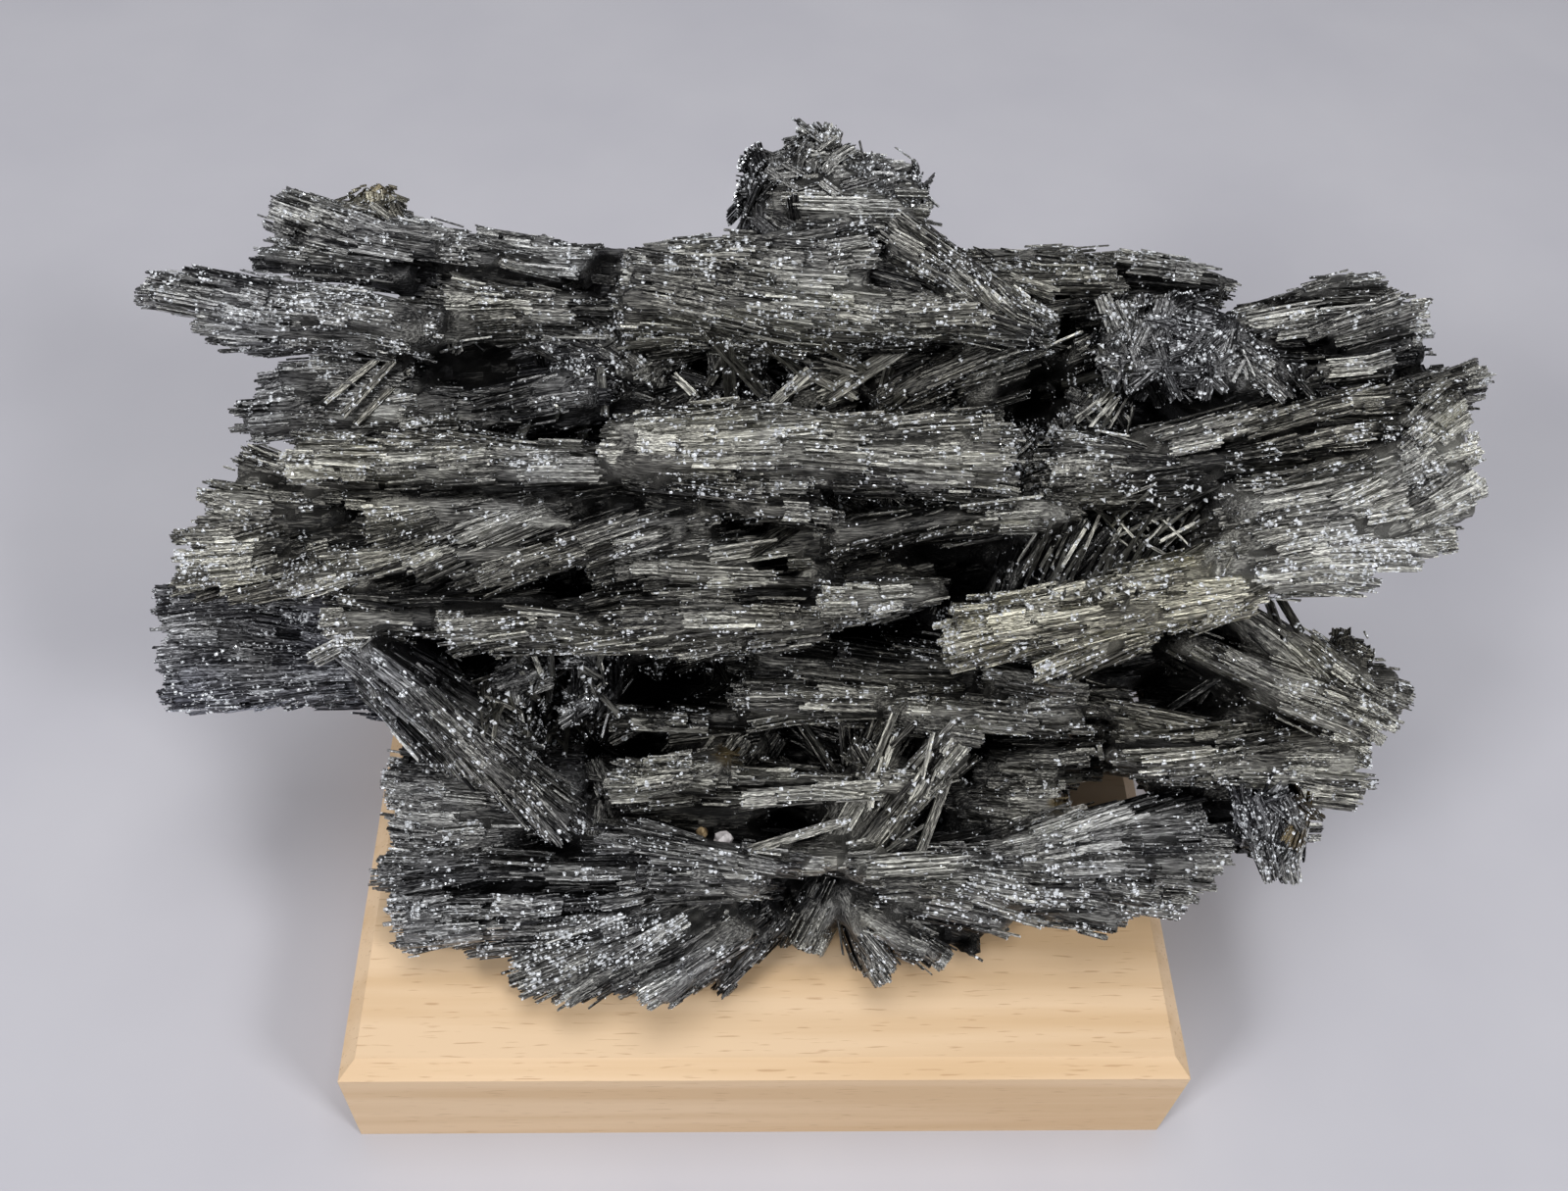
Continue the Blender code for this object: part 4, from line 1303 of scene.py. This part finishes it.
def layer_chances(tree, layer, overshoot, seed):
    """Each random value that the layer needs, with the seeds in a row."""
    ranges = {
        "proud": [edge * MM for edge in layer.proud],
        "stray": ((-1, -1, -1), (1, 1, 1)),
        "lift": layer.lift,
        "roll": (-layer.roll, layer.roll),
        "width": layer.width,
        "past": (0.0, overshoot),
        "length": layer.length,
        "batch": (0.0, 1.0),
    }
    chances = {}
    for name, (low, high) in ranges.items():
        inputs = {"Min_001": low, "Max_001": high, "Seed": seed + len(chances)}
        kind = "FLOAT"
        if name == "stray":
            inputs = {"Min": low, "Max": high, "Seed": seed + len(chances)}
            kind = "FLOAT_VECTOR"
        chances[name] = add(tree, RANDOM, inputs, data_type=kind)
    return chances


def fibre_rotation(tree, normal, layer, chances):
    """The turn that lays a piece along the fibres, lifted, strayed and rolled by chance."""
    wild = add(tree, NAMED, {"Name": "wild"}, data_type="FLOAT")
    fibre = add(tree, NAMED, {"Name": "fibre"}, data_type="FLOAT_VECTOR")
    spread = weighted(tree, layer.stray, (wild, TANGLE_STRAY))
    way = fibre
    for vector, scale in ((normal, chances["lift"]), (chances["stray"], spread)):
        step = add(tree, VECTOR_MATH, {0: vector, "Scale": scale}, operation="SCALE")
        way = add(tree, VECTOR_MATH, (way, step), operation="ADD")
    inputs = {"Primary Axis": way, "Secondary Axis": normal}
    turn = add(tree, "FunctionNodeAxesToRotation", inputs, primary_axis="Z", secondary_axis="Y")
    roll = add(tree, "ShaderNodeCombineXYZ", {"Z": chances["roll"]})
    roll = add(tree, "FunctionNodeEulerToRotation", (roll,))
    return add(tree, "FunctionNodeRotateRotation", (turn, roll), rotation_space="LOCAL")


def needle_layer(tree, given, name, density, seed):
    """The layer's pieces, laid along the fibres on the host. Returns their node."""
    layer = LAYERS[name]
    chances = layer_chances(tree, layer, given["Overshoot"], seed)
    scatter = add(tree, SCATTER, {"Mesh": given["Geometry"], "Density": density, "Seed": seed})
    normal = scatter.outputs["Normal"]
    raised = add(tree, VECTOR_MATH, {0: normal, "Scale": chances["proud"]}, operation="SCALE")
    inputs = {"Geometry": scatter.outputs["Points"], "Offset": raised}
    points = add(tree, "GeometryNodeSetPosition", inputs)
    turned = fibre_rotation(tree, normal, layer, chances)
    room = add(tree, NAMED, {"Name": "room"}, data_type="FLOAT")
    room = weighted(tree, chances["past"], (room, MM))
    longest = add(tree, MATH, (room, given["Reach"]), operation="DIVIDE")
    length = add(tree, MATH, (chances["length"], longest), operation="MINIMUM")
    scale = add(tree, "ShaderNodeCombineXYZ", (chances["width"], chances["width"], length))
    placed = instances(tree, points, given[name], turned, scale)
    inputs = {"Geometry": placed, "Name": "batch", "Value": chances["batch"]}
    kind = "GeometryNodeStoreNamedAttribute"
    return add(tree, kind, inputs, data_type="FLOAT", domain="INSTANCE")


def crumb_layer(tree, host, collection, density, seed):
    """Crumbs, white with a painted glint, scattered on the host, turned any way. Returns their node."""
    points = add(tree, SCATTER, {"Mesh": host, "Density": density, "Seed": seed}).outputs["Points"]
    for name in ("tone", "tip", "batch"):
        points = add(tree, "GeometryNodeRemoveAttribute", {"Geometry": points, "Name": name})
    inputs = {"Min": (-3, -3, -3), "Max": (3, 3, 3), "Seed": seed + 1}
    spin = add(tree, RANDOM, inputs, data_type="FLOAT_VECTOR")
    turned = add(tree, "FunctionNodeEulerToRotation", (spin,))
    inputs = {"Min_001": CRUMB_SIZES[0], "Max_001": CRUMB_SIZES[1], "Seed": seed + 2}
    return instances(tree, points, collection, turned, add(tree, RANDOM, inputs))


def patches(tree, span, low, high, most=1):
    """Clouds of this span in millimetres: nothing where they are low, the most where they are high."""
    position = add(tree, "GeometryNodeInputPosition")
    cloud = add(tree, NOISE, {"Vector": position, "Scale": 1 / (span * MM), "Detail": 1})
    inputs = {"Value": cloud, "From Min": low, "From Max": high, "To Max": most}
    return add(tree, MAP_RANGE, inputs)


def cover_sockets(tree):
    """Makes the cover's inputs and its output. Returns the inputs."""
    sockets = {"Geometry": "Geometry"}
    for name in MAKERS:
        sockets |= {name: "Collection", name + " density": "Float"}
    sockets |= {"Reach": "Float", "Overshoot": "Float", "Material": "Material"}
    for name, kind in sockets.items():
        tree.interface.new_socket(name, in_out="INPUT", socket_type="NodeSocket" + kind)
    tree.interface.new_socket("Geometry", in_out="OUTPUT", socket_type="NodeSocketGeometry")
    return add(tree, "NodeGroupInput").outputs


def joined(tree, pieces):
    """The pieces as one geometry, all realised."""
    whole = add(tree, "GeometryNodeJoinGeometry")
    for piece in pieces:
        tree.links.new(piece.outputs[0], whole.inputs[0])
    return add(tree, "GeometryNodeRealizeInstances", (whole,))


def needle_tree():
    """Covers a surface with three layers of laths and with crumbs that carry a painted glint, all
    realised.
    """
    tree = bpy.data.node_groups.new("needle_cover", "GeometryNodeTree")
    given = cover_sockets(tree)
    weight, glitter, shadow, broken = (
        add(tree, NAMED, {"Name": name}, data_type="FLOAT")
        for name in ("weight", "glitter", "shadow", "broken")
    )
    patch = patches(tree, 7, low=0.42, high=0.6)
    layers = []
    for number, name in enumerate(LAYERS):
        density = add(tree, MATH, (weight, given[name + " density"]), operation="MULTIPLY")
        if name == "Scales":
            density = add(tree, MATH, (density, patch), operation="MULTIPLY")
        layers.append(needle_layer(tree, given, name, density, 10 + 20 * number))
    laid = joined(tree, layers)
    grains = patches(tree, 3, low=0.45, high=0.7, most=2.5)
    # More crumbs where glints are painted, fewer in the painted shade.
    dusty = weighted(tree, grains, (glitter, 5), (shadow, -2))
    crumbs = given["Crumbs density"]
    dusty = add(tree, MATH, (dusty, crumbs), operation="MULTIPLY")
    dust = crumb_layer(tree, laid, given["Crumbs"], dusty, CRUMB_SEED)
    chipped = add(tree, MATH, (broken, crumbs), operation="MULTIPLY")
    chipped = add(tree, MATH, (chipped, END_CRUMBS), operation="MULTIPLY")
    ends = crumb_layer(tree, given["Geometry"], given["Crumbs"], chipped, END_CRUMB_SEED)
    inputs = {"Geometry": joined(tree, (laid, dust, ends)), "Material": given["Material"]}
    add(tree, "NodeGroupOutput", (add(tree, "GeometryNodeSetMaterial", inputs),))
    return tree


def set_inputs(modifier, values):
    """Gives a modifier's inputs, by name, their values, which are kept by identifier."""
    for item in modifier.node_group.interface.items_tree:
        if item.in_out == "INPUT" and item.name in values:
            modifier[item.identifier] = values[item.name]


# ---- materials ----


def new_material(name):
    """A material, its tree and its shader."""
    material = bpy.data.materials.new(name)
    material.use_nodes = True
    return material, material.node_tree, material.node_tree.nodes["Principled BSDF"]


def zinkenite_colour(tree, level, tip):
    """The grey of a level, tinted by the warmth and stain of the place, with the painted glint's white
    where tip is 1.
    """
    colours = bpy.context.scene.zinkenite_colours
    shade, warmth, stain = (
        add(tree, ATTRIBUTE, attribute_name=name).outputs["Fac"]
        for name in ("shade", "warmth", "stain")
    )
    place = add(tree, COORDINATES).outputs["Object"]
    cloud = add(tree, NOISE, {"Vector": place, "Scale": 1 / (11 * MM), "Detail": 3})
    level = weighted(tree, level, (shade, 1), (cloud, 0.5))
    greys = ((0.1, colours.deep), (0.45, colours.dull), (0.75, colours.mean), (1, colours.pale))
    body = add(tree, RAMP, (level,), stops=greys)
    drift = add(tree, NOISE, {"Vector": place, "Scale": 1 / (17 * MM), "Detail": 2})
    warmth = weighted(tree, warmth, (drift, 1.2))
    warmth = add(tree, MAP_RANGE, {"Value": warmth, "From Min": -0.4, "From Max": 1.6})
    tints = ((0, linear("#ced3ea")), (0.5, linear("#fffefa")), (1, linear("#f3ecd2")))
    tint = add(tree, RAMP, (warmth,), stops=tints)
    stain = add(tree, MATH, (stain, cloud), operation="MULTIPLY")
    layers = (
        (1, tint, "MULTIPLY"),
        (stain, linear("#85703f"), "MIX"),
        (tip, colours.painted_glint_white, "MIX"),
    )
    for share, colour, blend in layers:
        inputs = {"Factor_Float": share, "A_Color": body, "B_Color": colour}
        body = add(tree, MIX, inputs, data_type="RGBA", blend_type=blend)
    return body


def glints(tree):
    """Painted glints: specks half a millimetre apart, fewer in the painted shade: 1 on a speck and 0
    elsewhere, and how far from its middle each place is."""
    glitter, shadow = (
        add(tree, ATTRIBUTE, attribute_name=name).outputs["Fac"]
        for name in ("glitter", "shadow")
    )
    place = add(tree, COORDINATES).outputs["Object"]
    cells = add(tree, "ShaderNodeTexVoronoi", {"Vector": place, "Scale": 1 / (0.5 * MM)})
    spread = add(tree, NOISE, {"Vector": place, "Scale": 1 / (2.4 * MM), "Detail": 2})
    inputs = {"Value": spread, "From Min": 0.5, "From Max": 0.7}
    spread = add(tree, MAP_RANGE, inputs | {"To Min": 0.02, "To Max": 0.8})
    share = weighted(tree, spread, (glitter, 0.65), (shadow, -0.7))
    pick = add(tree, "ShaderNodeSeparateColor", (cells.outputs["Color"],))
    lit = add(tree, MATH, (pick, share), operation="LESS_THAN")
    size = add(tree, MAP_RANGE, {"Value": pick.outputs[1], "To Min": 0.2, "To Max": 0.7})
    inside = add(tree, MATH, (cells.outputs["Distance"], size), operation="LESS_THAN")
    return add(tree, MATH, (lit, inside), operation="MULTIPLY"), cells.outputs["Distance"]


def zinkenite_needles():
    """Zinkenite, a lead antimony sulphosalt: needles with metallic lustre, finely striated lengthwise
    and tarnished. Each lath has its own grey with fine lines along it, painted darker in closed
    places and hollows as painted shade, and some broken ends and specks carry a painted glint."""
    material, tree, shader = new_material("zinkenite_striated_needles")
    tone, batch, tip, shadow = (
        add(tree, ATTRIBUTE, attribute_name=name).outputs["Fac"]
        for name in ("tone", "batch", "tip", "shadow")
    )
    strand = add(tree, "ShaderNodeUVMap", uv_map="strand")
    # The strand map is in millimetres, so the lines lie a fifth of one apart. Real ones are finer and
    # wouldn't show.
    stretch = add(tree, MAPPING, {"Vector": strand, "Scale": (5, 0.7, 1)})
    lines = add(tree, NOISE, {"Vector": stretch, "Scale": 1, "Detail": 2})
    # The shadow term is painted shade.
    level = weighted(tree, -0.98, (tone, 0.62), (batch, 0.1), (lines, 1.7), (shadow, -0.4))
    # Painted glints: white specks, joined with the lath ends that carry one.
    speck, dome = glints(tree)
    tip = add(tree, MATH, (tip, speck), operation="MAXIMUM")
    ridges = add(tree, BUMP, {"Height": lines, "Strength": 0.8, "Distance": 0.16 * MM})
    dome = add(tree, MATH, (dome, speck), operation="MULTIPLY")
    inputs = {"Height": dome, "Strength": 1, "Distance": -0.5 * MM, "Normal": ridges}
    inputs = {
        "Base Color": zinkenite_colour(tree, level, tip),
        "Metallic": weighted(tree, 1, (tip, -0.8)),
        "Roughness": weighted(tree, 0.44, (tip, -0.26)),
        "Normal": add(tree, BUMP, inputs),
    }
    feed(shader, inputs)
    return material


def zinkenite_core():
    """The felted mass between the needles, of the same mineral: dull and streaked along its blades,
    and painted darker in the hollows and closed places as painted shade. Single fibres where a blade
    is broken across get the painted glint's white, except in the painted shade."""
    material, tree, shader = new_material("zinkenite_felted_core")
    lay = add(tree, ATTRIBUTE, attribute_name="lay").outputs["Vector"]
    shadow, broken = (
        add(tree, ATTRIBUTE, attribute_name=name).outputs["Fac"]
        for name in ("shadow", "broken")
    )
    # Fibres a fifth of a millimetre apart.
    lanes = add(tree, MAPPING, {"Vector": lay, "Scale": (5, 5, 0.5)})
    lines = add(tree, NOISE, {"Vector": lanes, "Scale": 1, "Detail": 4})
    cells = add(tree, "ShaderNodeTexVoronoi", {"Vector": lanes, "Scale": 1})
    # Painted glints: single fibre cells on broken faces, none in the painted shade.
    flash = add(tree, MATH, (cells.outputs["Color"], 0.85), operation="GREATER_THAN")
    tip = add(tree, MATH, (flash, broken), operation="MULTIPLY")
    tip = add(tree, MATH, (tip, shadow), operation="SUBTRACT", use_clamp=True)
    level = weighted(tree, -0.62, (lines, 1.6), (shadow, -0.4))
    inputs = {
        "Base Color": zinkenite_colour(tree, level, tip),
        "Metallic": 0.8,
        "Roughness": 0.5,
        "Normal": add(tree, BUMP, {"Height": lines, "Strength": 1, "Distance": 0.35 * MM}),
    }
    feed(shader, inputs)
    return material


def planed_hardwood():
    """Pale hardwood, planed, sanded and left bare: soft straw bands, fine dark pores along the grain."""
    colours = bpy.context.scene.block_colours
    material, tree, shader = new_material("pale_hardwood_planed")
    place = add(tree, COORDINATES).outputs["Object"]
    long = add(tree, MAPPING, {"Vector": place, "Scale": (0.04, 1, 1)})
    bands = ((0.4, colours.late), (0.6, colours.early))
    band = add(tree, NOISE, {"Vector": long, "Scale": 1 / (5 * MM), "Detail": 5})
    body = add(tree, RAMP, (band,), stops=bands)
    cells = add(tree, MAPPING, {"Vector": place, "Scale": (0.09, 1, 1)})
    dash = add(tree, NOISE, {"Vector": cells, "Scale": 1 / (0.34 * MM), "Detail": 1})
    inputs = {"Value": dash, "From Min": 0.64, "From Max": 0.74, "To Max": 0.4}
    dash = add(tree, MAP_RANGE, inputs)
    inputs = {"Factor_Float": dash, "A_Color": body, "B_Color": colours.pore}
    inputs = {
        "Base Color": add(tree, MIX, inputs, data_type="RGBA"),
        "Roughness": 0.55,
        "Specular IOR Level": 0.35,
        "Normal": add(tree, BUMP, {"Height": dash, "Strength": 0.4, "Distance": -0.1 * MM}),
    }
    feed(shader, inputs)
    return material


# Finishes that are a cloud of two tones: span of the clouds in millimetres, their detail, the tones
# and where each is reached, and the roughness.
CLOUDED = {
    # Milky vein quartz, broken: pinkish white with a dull glassy sheen.
    "quartz_broken_grain": (1, 3, (0.35, "#a19a9b"), (0.65, "#e6e1e0"), 0.3),
    # Gangue stained by iron, broken: brown with a paler side.
    "gangue_iron_stained": (0.8, 3, (0.35, "#4b3a26"), (0.65, "#a08a66"), 0.5),
    # Seamless background paper, matt: pale with the faintest mottling.
    "background_paper_matt": (40, 4, (0.3, "#b7b6bd"), (0.7, "#bdbcc2"), 0.9),
}


def clouded(name):
    """A finish of the table."""
    span, detail, low, high, roughness = CLOUDED[name]
    material, tree, shader = new_material(name)
    place = add(tree, COORDINATES).outputs["Object"]
    cloud = add(tree, NOISE, {"Vector": place, "Scale": 1 / (span * MM), "Detail": detail})
    body = add(tree, RAMP, (cloud,), stops=[(at, linear(code)) for at, code in (low, high)])
    feed(shader, {"Base Color": body, "Roughness": roughness})
    return material


# ---- pieces ----


def finish_piece(obj):
    """Ties a piece of the specimen to the frame."""
    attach(obj, "root")
    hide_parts(CLUSTER)


class SPECIMEN_OT_core(bpy.types.Operator):
    """Builds the dark body of the specimen."""

    bl_idname = "specimen.core"
    bl_label = "Build the core"

    def execute(self, context):
        mesh = dressed_core()
        mesh.materials.append(zinkenite_core())
        mesh.shade_smooth()
        finish_piece(plain_object("zinkenite_core", mesh))
        return {"FINISHED"}


def part_of(mesh, number, name):
    """A copy of the faces of the core that belong to one piece."""
    copy = mesh.copy()
    copy.name = name
    bm = bmesh.new()
    bm.from_mesh(copy)
    owner = bm.verts.layers.int["piece"]
    spare = [face for face in bm.faces if face.verts[0][owner] != number]
    bmesh.ops.delete(bm, geom=spare, context="FACES")
    bm.to_mesh(copy)
    bm.free()
    return copy


# What only the growing of the needles reads, so their finished meshes go without it.
GROWTH_ONLY = ("fibre", "lay", "room", "weight", "wild", "broken", "piece")


def grown(host, tree, inputs, name):
    """The needles that the tree grows on the host, as a plain mesh."""
    cover = host.modifiers.new("cover", "NODES")
    cover.node_group = tree
    set_inputs(cover, inputs)
    mesh = evaluated_mesh(host)
    mesh.name = name
    for spare in [item.name for item in mesh.attributes]:
        if spare in GROWTH_ONLY:
            mesh.attributes.remove(mesh.attributes[spare])
    return mesh


class SPECIMEN_OT_needles(bpy.types.Operator):
    """Grows the needles on each part of the core."""

    bl_idname = "specimen.needles"
    bl_label = "Grow the needles"

    def execute(self, context):
        sizes = context.scene.needle_sizes
        core = context.scene.objects["zinkenite_core"].data
        inputs = {"Reach": sizes.reach, "Overshoot": sizes.overshoot, "Material": zinkenite_needles()}
        for name, (maker, count) in MAKERS.items():
            inputs[name] = variants(name.lower(), maker, count, sizes.reach / MM)
            inputs[name + " density"] = getattr(sizes, name.lower()) / MM**2
        tree = needle_tree()
        for number, name in enumerate(PIECES):
            host = plain_object(name + "_host", part_of(core, number, name))
            finish_piece(plain_object(name, grown(host, tree, inputs, name)))
        return {"FINISHED"}


def dropped(tree, u, v, proud):
    """The point of the core seen through this place of the display plane, raised towards the eye."""
    way = unit(on_face((u, v, 0)) - EYE)
    hit = tree.ray_cast(Vector(EYE * MM), Vector(way))[0]
    if hit is None:
        return on_face((u, v, MISSED))
    return np.array(hit) / MM - way * proud


def striated_lath(bm, layers, ends, width, chance):
    """A lath between two points, made of a few strips side by side."""
    draw = drawer(chance, STRIP)
    axis = unit(ends[1] - ends[0])
    across = unit(np.cross(FACE[:, 2], axis))
    out = np.cross(axis, across)
    count = max(1, round(width / STRIP_WIDTH))
    level = draw("level")
    length = np.linalg.norm(ends[1] - ends[0])
    for k in range(count):
        shift = ((k + 0.5) / count - 0.5) * width
        centre = ends[0] + across * shift + out * draw("depth")
        size = (width / count * STRIP_OVERLAP, draw("thickness"))
        reach = (draw("root"), length + draw("end"))
        cuts = (draw("cut"), draw("cut"))
        tone = toned(level, draw("tone"))
        roll = math.pi / 4 + draw("roll")
        prism(bm, layers, 4, (centre, across, out, axis), size, reach, cuts, roll, tone)
    for end in ends:
        if chance.random() < STRIP_CRUMB_CHANCE:
            crumb(bm, layers, end + out * STRIP_CRUMB_OUT, draw("crumb"), chance)


def thicket_laths(tree, chance):
    """The ends and the width of each lath of the thickets."""
    draw = drawer(chance, THICKET)
    for centre, halves, count, mean, spread, length, width in THICKETS:
        for _ in range(count):
            u = centre[0] + chance.uniform(-1, 1) * halves[0]
            v = centre[1] + chance.uniform(-1, 1) * halves[1]
            angle = math.radians(mean + chance.uniform(-spread, spread))
            half = length * draw("half")
            du, dv = math.cos(angle) * half, math.sin(angle) * half
            proud = draw("proud")
            ends = [dropped(tree, u - du, v - dv, proud), dropped(tree, u + du, v + dv, proud)]
            yield ends, width * draw("width")


class SPECIMEN_OT_laths(bpy.types.Operator):
    """Lays single laths across the hollows, and thickets of fine ones."""

    bl_idname = "specimen.laths"
    bl_label = "Lay the crossing laths"

    def execute(self, context):
        tree = search_tree(context.scene.objects["zinkenite_core"].data)
        chance = random.Random("laths")
        bm = bmesh.new()
        layers = new_layers(bm)
        for *places, width in CROSSING_LATHS:
            pairs = zip((places[:2], places[2:]), LATH_PROUD)
            ends = [dropped(tree, *place, proud) for place, proud in pairs]
            striated_lath(bm, layers, ends, width, chance)
        for ends, width in thicket_laths(tree, chance):
            striated_lath(bm, layers, ends, width, chance)
        mesh = mesh_from(bm, "crossing_laths", zinkenite_needles())
        for name, value in (("warmth", 0.1), ("shade", 0.0), ("batch", 0.5)):
            write(mesh, name, np.full(len(mesh.vertices), value))
        finish_piece(plain_object("crossing_laths", mesh))
        return {"FINISHED"}


def pebble(name, place, tree, material):
    """A small broken grain that rests on the core."""
    u, v, size = place
    chance = random.Random(name)
    centre = dropped(tree, u, v, size / 2 + GRAIN_RISE)
    bm = bmesh.new()
    bmesh.ops.create_icosphere(bm, subdivisions=2, radius=size / 2 * MM)
    for vert in bm.verts:
        vert.co *= chance.uniform(*GRAIN_UNEVEN)
        vert.co += Vector(centre) * MM
    finish_piece(plain_object(name, mesh_from(bm, name, material)))


class SPECIMEN_OT_grains(bpy.types.Operator):
    """Sets the quartz grain and the brown grain in their hollow."""

    bl_idname = "specimen.grains"
    bl_label = "Set the grains"

    def execute(self, context):
        tree = search_tree(context.scene.objects["zinkenite_core"].data)
        pebble("quartz_grain", QUARTZ_GRAIN, tree, clouded("quartz_broken_grain"))
        pebble("brown_grain", BROWN_GRAIN, tree, clouded("gangue_iron_stained"))
        return {"FINISHED"}


class SPECIMEN_OT_block(bpy.types.Operator):
    """Gives the block its wood."""

    bl_idname = "specimen.block"
    bl_label = "Finish the block"

    def execute(self, context):
        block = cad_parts[BLOCK]
        block.data.materials.clear()
        block.data.materials.append(planed_hardwood())
        return {"FINISHED"}


def set_camera(scene):
    """Sets the camera at the eye."""
    camera = bpy.data.cameras.new("camera")
    camera.lens = LENS
    camera.sensor_width = SENSOR
    camera.clip_start = 10 * MM
    scene.camera = plain_object("camera", camera)
    up = EYE_RIGHT.cross(EYE_FORWARD)
    turn = Matrix((EYE_RIGHT, up, -EYE_FORWARD)).transposed().to_4x4()
    scene.camera.matrix_world = Matrix.Translation(Vector(EYE) * MM) @ turn


def set_lights(scene):
    """Lights the room softly, and the specimen by three lamps."""
    scene.world = bpy.data.worlds.new("room")
    scene.world.use_nodes = True
    background = scene.world.node_tree.nodes["Background"]
    feed(background, {"Color": linear("#b4b6bd"), "Strength": ROOM_LIGHT})
    for name, place, size, power in LIGHTS:
        lamp = bpy.data.lights.new(name, "AREA")
        lamp.size = size
        lamp.energy = power
        obj = plain_object(name, lamp)
        obj.location = place
        obj.rotation_euler = (LIGHT_AIM - Vector(place)).to_track_quat("-Z", "Y").to_euler()


class SPECIMEN_OT_stage(bpy.types.Operator):
    """Sets the floor, the camera and the lights."""

    bl_idname = "specimen.stage"
    bl_label = "Set the stage"

    def execute(self, context):
        bm = bmesh.new()
        bmesh.ops.create_grid(bm, size=FLOOR)
        mesh = mesh_from(bm, "floor", clouded("background_paper_matt"))
        plain_object("floor", mesh)
        set_camera(context.scene)
        set_lights(context.scene)
        context.scene.view_settings.view_transform = "Standard"
        return {"FINISHED"}


class SPECIMEN_PT_panel(bpy.types.Panel):
    """Lists the steps and their settings."""

    bl_idname = "SPECIMEN_PT_panel"
    bl_label = "Zinkenite specimen"
    bl_space_type = "VIEW_3D"
    bl_region_type = "UI"
    bl_category = "Specimen"

    def draw(self, context):
        for name, kind in GROUPS.items():
            box = self.layout.box()
            for setting in kind.__annotations__:
                box.prop(getattr(context.scene, name), setting)
        for operator in OPERATORS:
            self.layout.operator(operator.bl_idname)


GROUPS = {
    "needle_sizes": NeedleSizes,
    "zinkenite_colours": ZinkeniteColours,
    "block_colours": BlockColours,
}
OPERATORS = (
    SPECIMEN_OT_core,
    SPECIMEN_OT_needles,
    SPECIMEN_OT_laths,
    SPECIMEN_OT_grains,
    SPECIMEN_OT_block,
    SPECIMEN_OT_stage,
)


def register():
    for group in GROUPS.values():
        bpy.utils.register_class(group)
    for name, group in GROUPS.items():
        setattr(bpy.types.Scene, name, PointerProperty(type=group))
    for item in (*OPERATORS, SPECIMEN_PT_panel):
        bpy.utils.register_class(item)


def unregister():
    for item in (SPECIMEN_PT_panel, *reversed(OPERATORS)):
        bpy.utils.unregister_class(item)
    for name, group in GROUPS.items():
        delattr(bpy.types.Scene, name)
        bpy.utils.unregister_class(group)


def main():
    register()
    bpy.ops.specimen.core()
    bpy.ops.specimen.needles()
    bpy.ops.specimen.laths()
    bpy.ops.specimen.grains()
    bpy.ops.specimen.block()
    bpy.ops.specimen.stage()


if __name__ == "__main__":
    main()
